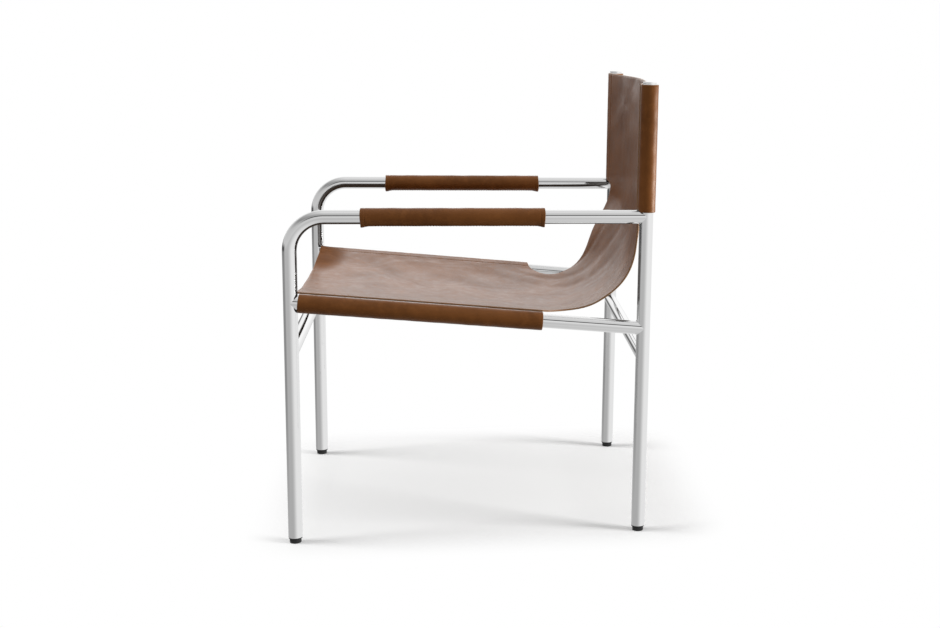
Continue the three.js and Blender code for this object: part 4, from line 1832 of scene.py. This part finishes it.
@dataclass(frozen=True)
class PhotoCamera:
    """The camera that sees the chair as the photograph does.

    Attributes:
        place: Where it stands, metres.
        yaw: How far its view turns from -X towards +Y, in radians.
        pitch: How far it looks down.
        roll: How far it leans.
        focal_pixels: Its focal length in pixels.
        shift_pixels: How far the picture's middle is moved right and down.
        picture_width: The picture's width in pixels.
        sensor: Its sensor's width in Blender's millimetres.
    """

    place: Point = (2.80483, -0.03921, 0.93256)
    yaw: float = 0.16334
    pitch: float = 0.15516
    roll: float = -0.02074
    focal_pixels: float = 1432.44
    shift_pixels: tuple[float, float] = (215.0, -66.0)
    picture_width: int = 940
    sensor: float = 36.0

    def build(self) -> None:
        """Makes it the scene's camera."""
        level = np.array([-math.cos(self.yaw), math.sin(self.yaw), 0])
        right = np.array([math.sin(self.yaw), math.cos(self.yaw), 0])
        forward = level * math.cos(self.pitch) - UPWARDS * math.sin(self.pitch)
        above = UPWARDS * math.cos(self.pitch) + level * math.sin(self.pitch)
        x_axis = right * math.cos(self.roll) - above * math.sin(self.roll)
        y_axis = above * math.cos(self.roll) + right * math.sin(self.roll)
        data = bpy.data.cameras.new("photo_camera")
        data.sensor_width = self.sensor
        data.lens = self.focal_pixels / self.picture_width * self.sensor
        data.shift_x = -self.shift_pixels[0] / self.picture_width
        data.shift_y = self.shift_pixels[1] / self.picture_width
        camera = bpy.data.objects.new("photo_camera", data)
        camera.matrix_world = Matrix.Translation(Vector(self.place)) @ Matrix(
            np.stack([x_axis, y_axis, -forward], axis=1).tolist()).to_4x4()
        bpy.context.scene.collection.objects.link(camera)
        bpy.context.scene.camera = camera


@dataclass(frozen=True)
class Patch:
    """A round patch of the room, full within a core and fading out to its edge.

    Attributes:
        axis: The direction of its middle.
        edge: The cosine to that axis where it ends.
        core: The cosine within which it is full.
        most: Its full value.
        stops: Sines of elevation and the share of the value at each, for a patch that varies in height too.
    """

    axis: Point
    edge: float
    core: float
    most: float = 1.0
    stops: Stops = ()


@dataclass(frozen=True)
class Outlook:
    """Where a ray into the room looks, which its brightness is worked out from.

    Attributes:
        tree: The world's tree.
        direction: The ray's direction.
        height: The sine of its elevation.
    """

    tree: Tree
    direction: Socket
    height: Socket

    def towards(self, patch: Patch) -> Socket:
        """A value that rises smoothly as the direction turns to a patch's axis.

        Args:
            patch: The patch.

        Returns:
            The value, which is 0 outside it.
        """
        cosine = add_node(self.tree, "VectorMath", {
            0: self.direction, 1: patch.axis}, operation="DOT_PRODUCT")
        return add_node(self.tree, "MapRange", {
            "Value": cosine.outputs["Value"], "From Min": patch.edge, "From Max": patch.core,
            "To Max": patch.most}, interpolation_type="SMOOTHSTEP").outputs[0]

    def by_height(self, stops: Stops) -> Socket:
        """A value that follows the sine of the elevation, in straight runs between its stops.

        Args:
            stops: Sines of elevation and the value at each.

        Returns:
            The value.
        """
        share = add_node(self.tree, "MapRange", {"Value": self.height, "From Min": -1.0, "From Max": 1.0})
        ramp = add_node(self.tree, "ValToRGB", {"Fac": share})
        elements = ramp.color_ramp.elements
        elements.remove(elements[1])
        for number, (sine, value) in enumerate(stops):
            element = elements.new((sine + 1) / 2) if number else elements[0]
            element.position = (sine + 1) / 2
            element.color = (value, value, value, 1.0)
        return ramp.outputs["Color"]


@dataclass(frozen=True)
class StudioRoom:
    """The room round the chair: bright behind it, dim where the camera stands, lit softly from above and
    the rear.

    Mirrors see its walls by the sine of the elevation. Matt surfaces are lit by it more plainly, as if by
    large soft boxes. The camera sees it white.

    Attributes:
        dim_wall: Sines of elevation and brightness on the camera's side.
        bright_wall: The same on the other side.
        bright_side: Where the bright wall takes the dim one's place.
        dark_zones: A band under the horizon, ahead of the chair, and a patch above the camera.
        below: The light on matt surfaces from below.
        above: The same from straight above.
        backdrop: The light that the backdrop adds to it.
        box: The light of the soft box behind the chair.
    """

    dim_wall: Stops = (
        (-1.0, 0.37), (-0.87, 0.47), (-0.7, 0.53), (-0.48, 0.42), (-0.22, 0.46), (-0.1, 0.50), (0.0, 0.60),
        (0.4, 0.55), (0.55, 0.42), (0.69, 0.26), (0.86, 0.36), (0.96, 0.56), (1.0, 0.78))
    bright_wall: Stops = (
        (-1.0, 0.74), (-0.1, 0.86), (0.05, 1.0), (0.5, 1.05), (0.8, 0.9), (1.0, 0.74))
    bright_side: Patch = Patch((-0.342, 0.940, 0.0), edge=-0.75, core=0.5)
    dark_zones: tuple[Patch, ...] = (
        Patch((-0.64, -0.77, 0.0), edge=0.45, core=0.8, stops=(
            (-0.4, 0.0), (-0.28, 0.4), (-0.16, 0.45), (-0.11, 0.85), (-0.05, 0.85), (0.05, 0.0))),
        Patch((1.0, 0.0, 0.0), edge=0.66, core=0.84, stops=(
            (0.36, 0.0), (0.42, 0.96), (0.54, 0.96), (0.62, 0.0))))
    below: float = 0.16
    above: float = 1.3
    backdrop: Patch = Patch((-0.97, 0.0, 0.243), edge=0.2, core=0.85, most=0.15)
    box: Patch = Patch((-0.05, 0.926, 0.375), edge=0.72, core=0.97, most=0.3)

    def build(self) -> None:
        """Makes it the scene's world."""
        world = bpy.data.worlds.new("white_studio_room")
        world.use_nodes = True
        tree = world.node_tree
        tree.nodes.clear()
        direction = add_node(tree, "TexCoord").outputs["Generated"]
        outlook = Outlook(tree, direction, add_node(tree, "SeparateXYZ", {0: direction}).outputs["Z"])
        path = add_node(tree, "LightPath")
        unseen = add_node(tree, "Mix", {
            "Factor": path.outputs["Is Glossy Ray"],
            NUMBER_A: self._lit(outlook), NUMBER_B: self._mirrored(outlook)})
        strength = add_node(tree, "Mix", {
            "Factor": path.outputs["Is Camera Ray"], NUMBER_A: unseen, NUMBER_B: 1.0})
        shader = add_node(tree, "Background", {"Color": (1.0, 1.0, 1.0, 1.0), "Strength": strength})
        add_node(tree, "OutputWorld", {"Surface": shader})
        bpy.context.scene.world = world

    def _mirrored(self, outlook: Outlook) -> Socket:
        """The room as mirrors see it: its two walls, mixed by the direction, less the dark zones.

        Args:
            outlook: Where the ray looks.

        Returns:
            The brightness.
        """
        room = add_node(outlook.tree, "Mix", {
            "Factor": outlook.towards(self.bright_side),
            NUMBER_A: outlook.by_height(self.dim_wall), NUMBER_B: outlook.by_height(self.bright_wall)})
        for zone in self.dark_zones:
            lacking = add_node(outlook.tree, "Math", {
                0: outlook.towards(zone), 1: outlook.by_height(zone.stops)}, operation="MULTIPLY")
            room = add_node(outlook.tree, "Mix", {"Factor": lacking, NUMBER_A: room, NUMBER_B: 0.0})
        return room.outputs[0]

    def _lit(self, outlook: Outlook) -> Socket:
        """The room as it lights matt surfaces: brighter upwards, at the backdrop and at the soft box.

        Args:
            outlook: Where the ray looks.

        Returns:
            The brightness.
        """
        overhead = add_node(outlook.tree, "MapRange", {
            "Value": outlook.height, "From Min": 0.1, "From Max": 1.0,
            "To Min": self.below, "To Max": self.above}, interpolation_type="SMOOTHSTEP")
        both = add_node(outlook.tree, "Math", {
            0: outlook.towards(self.box), 1: outlook.towards(self.backdrop)}, operation="ADD")
        return add_node(outlook.tree, "Math", {0: overhead, 1: both}, operation="ADD").outputs[0]


def add_lamp(data: bpy.types.Light, lit: bpy.types.Collection) -> bpy.types.Object:
    """Adds a lamp that lights the pieces of one collection alone.

    Args:
        data: The lamp's light.
        lit: The collection.

    Returns:
        The lamp, still to be turned.
    """
    lamp = bpy.data.objects.new(data.name, data)
    lamp.light_linking.receiver_collection = lit
    bpy.context.scene.collection.objects.link(lamp)
    return lamp


@dataclass(frozen=True)
class FloorLamp:
    """A low, far and soft lamp that lights the floor alone, for the shadows of the feet.

    Attributes:
        name: Its name.
        sweep: Its light on the floor.
        angle: How wide it looks from the floor, in radians.
        turn: How far its light turns from +Y towards -X, in radians.
        height: Its elevation, in radians.
    """

    name: str
    sweep: float
    angle: float
    turn: float
    height: float = math.radians(18)

    def build(self, ground: bpy.types.Collection) -> None:
        """Sets it up.

        Args:
            ground: The floor's collection.
        """
        data = bpy.data.lights.new(self.name, "SUN")
        data.energy = self.sweep * math.pi / math.sin(self.height)
        data.angle = self.angle
        add_lamp(data, ground).rotation_euler = (math.pi / 2 - self.height, 0.0, self.turn)


@dataclass(frozen=True)
class StudioFloor:
    """A matt white floor that keeps the chair's shadows near it and is plain white further out.

    Attributes:
        size: The floor's width.
        seen: The paint's share of light as the camera meets it.
        bounce: The same for the light that it throws back at matt surfaces.
        middle: The middle of the area that keeps the chair's shadows.
        kept: Half that area's width and depth.
        fade: How far beyond it the shadows have faded.
        lamps: A lamp in front of the chair and one behind it.
    """

    size: float = 14.0
    seen: float = 0.37
    bounce: float = 0.12
    middle: tuple[float, float] = (-0.03, 0.03)
    kept: tuple[float, float] = (0.27, 0.31)
    fade: float = 0.14
    lamps: tuple[FloorLamp, ...] = (
        FloorLamp("front_floor_lamp", sweep=0.9, angle=math.radians(34), turn=math.radians(-4)),
        FloorLamp("rear_floor_lamp", sweep=0.8, angle=math.radians(20), turn=math.radians(159)),
    )

    def build(self) -> None:
        """Lays the floor and sets up its lamps."""
        half = self.size / 2
        corners = [(-half, -half, 0), (half, -half, 0), (half, half, 0), (-half, half, 0)]
        mesh = bpy.data.meshes.new("studio_floor")
        mesh.from_pydata(corners, [], [list(range(len(corners)))])
        mesh.materials.append(self._paint())
        floor = bpy.data.objects.new("studio_floor", mesh)
        ground = bpy.data.collections.new("studio_ground")
        bpy.context.scene.collection.children.link(ground)
        ground.objects.link(floor)
        for lamp in self.lamps:
            lamp.build(ground)

    def _paint(self) -> Material:
        """Builds the paint: matt near the chair, and beyond it white to the camera and open to other rays.

        Mirrors see the room's own lower half instead of the paint, which keeps their reflections clean. The
        distance from the kept area is the length of what |place - middle| has above the area's half sizes.

        Returns:
            The material.
        """
        material, tree, place = new_material("matt_white_floor_paint")
        path = add_node(tree, "LightPath")
        share = add_node(tree, "Mix", {
            "Factor": path.outputs["Is Diffuse Ray"], NUMBER_A: self.seen, NUMBER_B: self.bounce})
        paint = add_node(tree, "BsdfDiffuse", {"Color": share})
        glow = add_node(tree, "Emission", {"Strength": 1.0})
        clear = add_node(tree, "BsdfTransparent")
        beyond = add_node(tree, "MixShader", {0: path.outputs["Is Camera Ray"], 1: clear, 2: glow})
        off = add_node(tree, "VectorMath", {0: place, 1: (*self.middle, 0.0)}, operation="SUBTRACT")
        side = add_node(tree, "VectorMath", {0: off}, operation="ABSOLUTE")
        past = add_node(tree, "VectorMath", {0: side, 1: (*self.kept, 0.0)}, operation="SUBTRACT")
        outside = add_node(tree, "VectorMath", {0: past, 1: (0.0, 0.0, 0.0)}, operation="MAXIMUM")
        distance = add_node(tree, "VectorMath", {0: outside}, operation="LENGTH")
        fade = add_node(tree, "MapRange", {
            "Value": distance.outputs["Value"], "From Max": self.fade}, interpolation_type="SMOOTHSTEP")
        gone = add_node(tree, "Math", {0: fade, 1: path.outputs["Is Glossy Ray"]}, operation="MAXIMUM")
        shader = add_node(tree, "MixShader", {0: gone, 1: paint, 2: beyond})
        finish_tree(tree, shader)
        return material


@dataclass(frozen=True)
class LeatherLamp:
    """A soft box that lights the leather alone, for its gloss.

    Attributes:
        name: Its name.
        place: Where it stands.
        aim: The point that it faces.
        size: Its width and height.
        radiance: How bright it looks.
    """

    name: str
    place: Point
    aim: Point
    size: tuple[float, float]
    radiance: float

    def build(self, leather: bpy.types.Collection) -> None:
        """Sets it up.

        Args:
            leather: The leather pieces' collection.
        """
        data = bpy.data.lights.new(self.name, "AREA")
        data.shape = "RECTANGLE"
        data.size, data.size_y = self.size
        data.energy = self.radiance * math.pi * data.size * data.size_y
        heading = Vector(self.aim) - Vector(self.place)
        turned = heading.to_track_quat("-Z", "Y").to_matrix().to_4x4()
        add_lamp(data, leather).matrix_world = Matrix.Translation(Vector(self.place)) @ turned


# One across the chair from the camera, for the seat's gloss, and one low behind it, for the back's.
LEATHER_LAMPS = (
    LeatherLamp("low_box", place=(-3.0, 0.05, 1.45), aim=(0.0, 0.0, 0.45), size=(3.0, 1.5), radiance=1.35),
    LeatherLamp("rear_box", place=(0.3, 2.6, 0.2), aim=(0.27, 0.3, 0.7), size=(1.7, 0.7), radiance=19.0),
)


def light_leather(grain: Material) -> None:
    """Sets up the leather's lamps.

    Args:
        grain: The grain side's material, which every leather piece has.
    """
    leather = bpy.data.collections.new("studio_leather")
    for piece in bpy.context.scene.objects:
        if piece.type == "MESH" and grain.name in piece.data.materials:
            leather.objects.link(piece)
    for lamp in LEATHER_LAMPS:
        lamp.build(leather)


def main() -> None:
    """Builds the studio and the chair, and reports each piece."""
    logging.basicConfig(level=logging.INFO, format="%(name)s: %(message)s")
    PhotoCamera().build()
    StudioRoom().build()
    StudioFloor().build()
    bpy.context.scene.view_settings.view_transform = "Standard"
    lines = ChairLines.from_frame()
    finishes = Finishes()
    TubeFrame(lines, finishes).build()
    Sling(lines, finishes).build()
    ArmWraps(lines, finishes).build()
    light_leather(finishes.grain)
    bpy.context.view_layer.update()


if __name__ == "__main__":
    main()
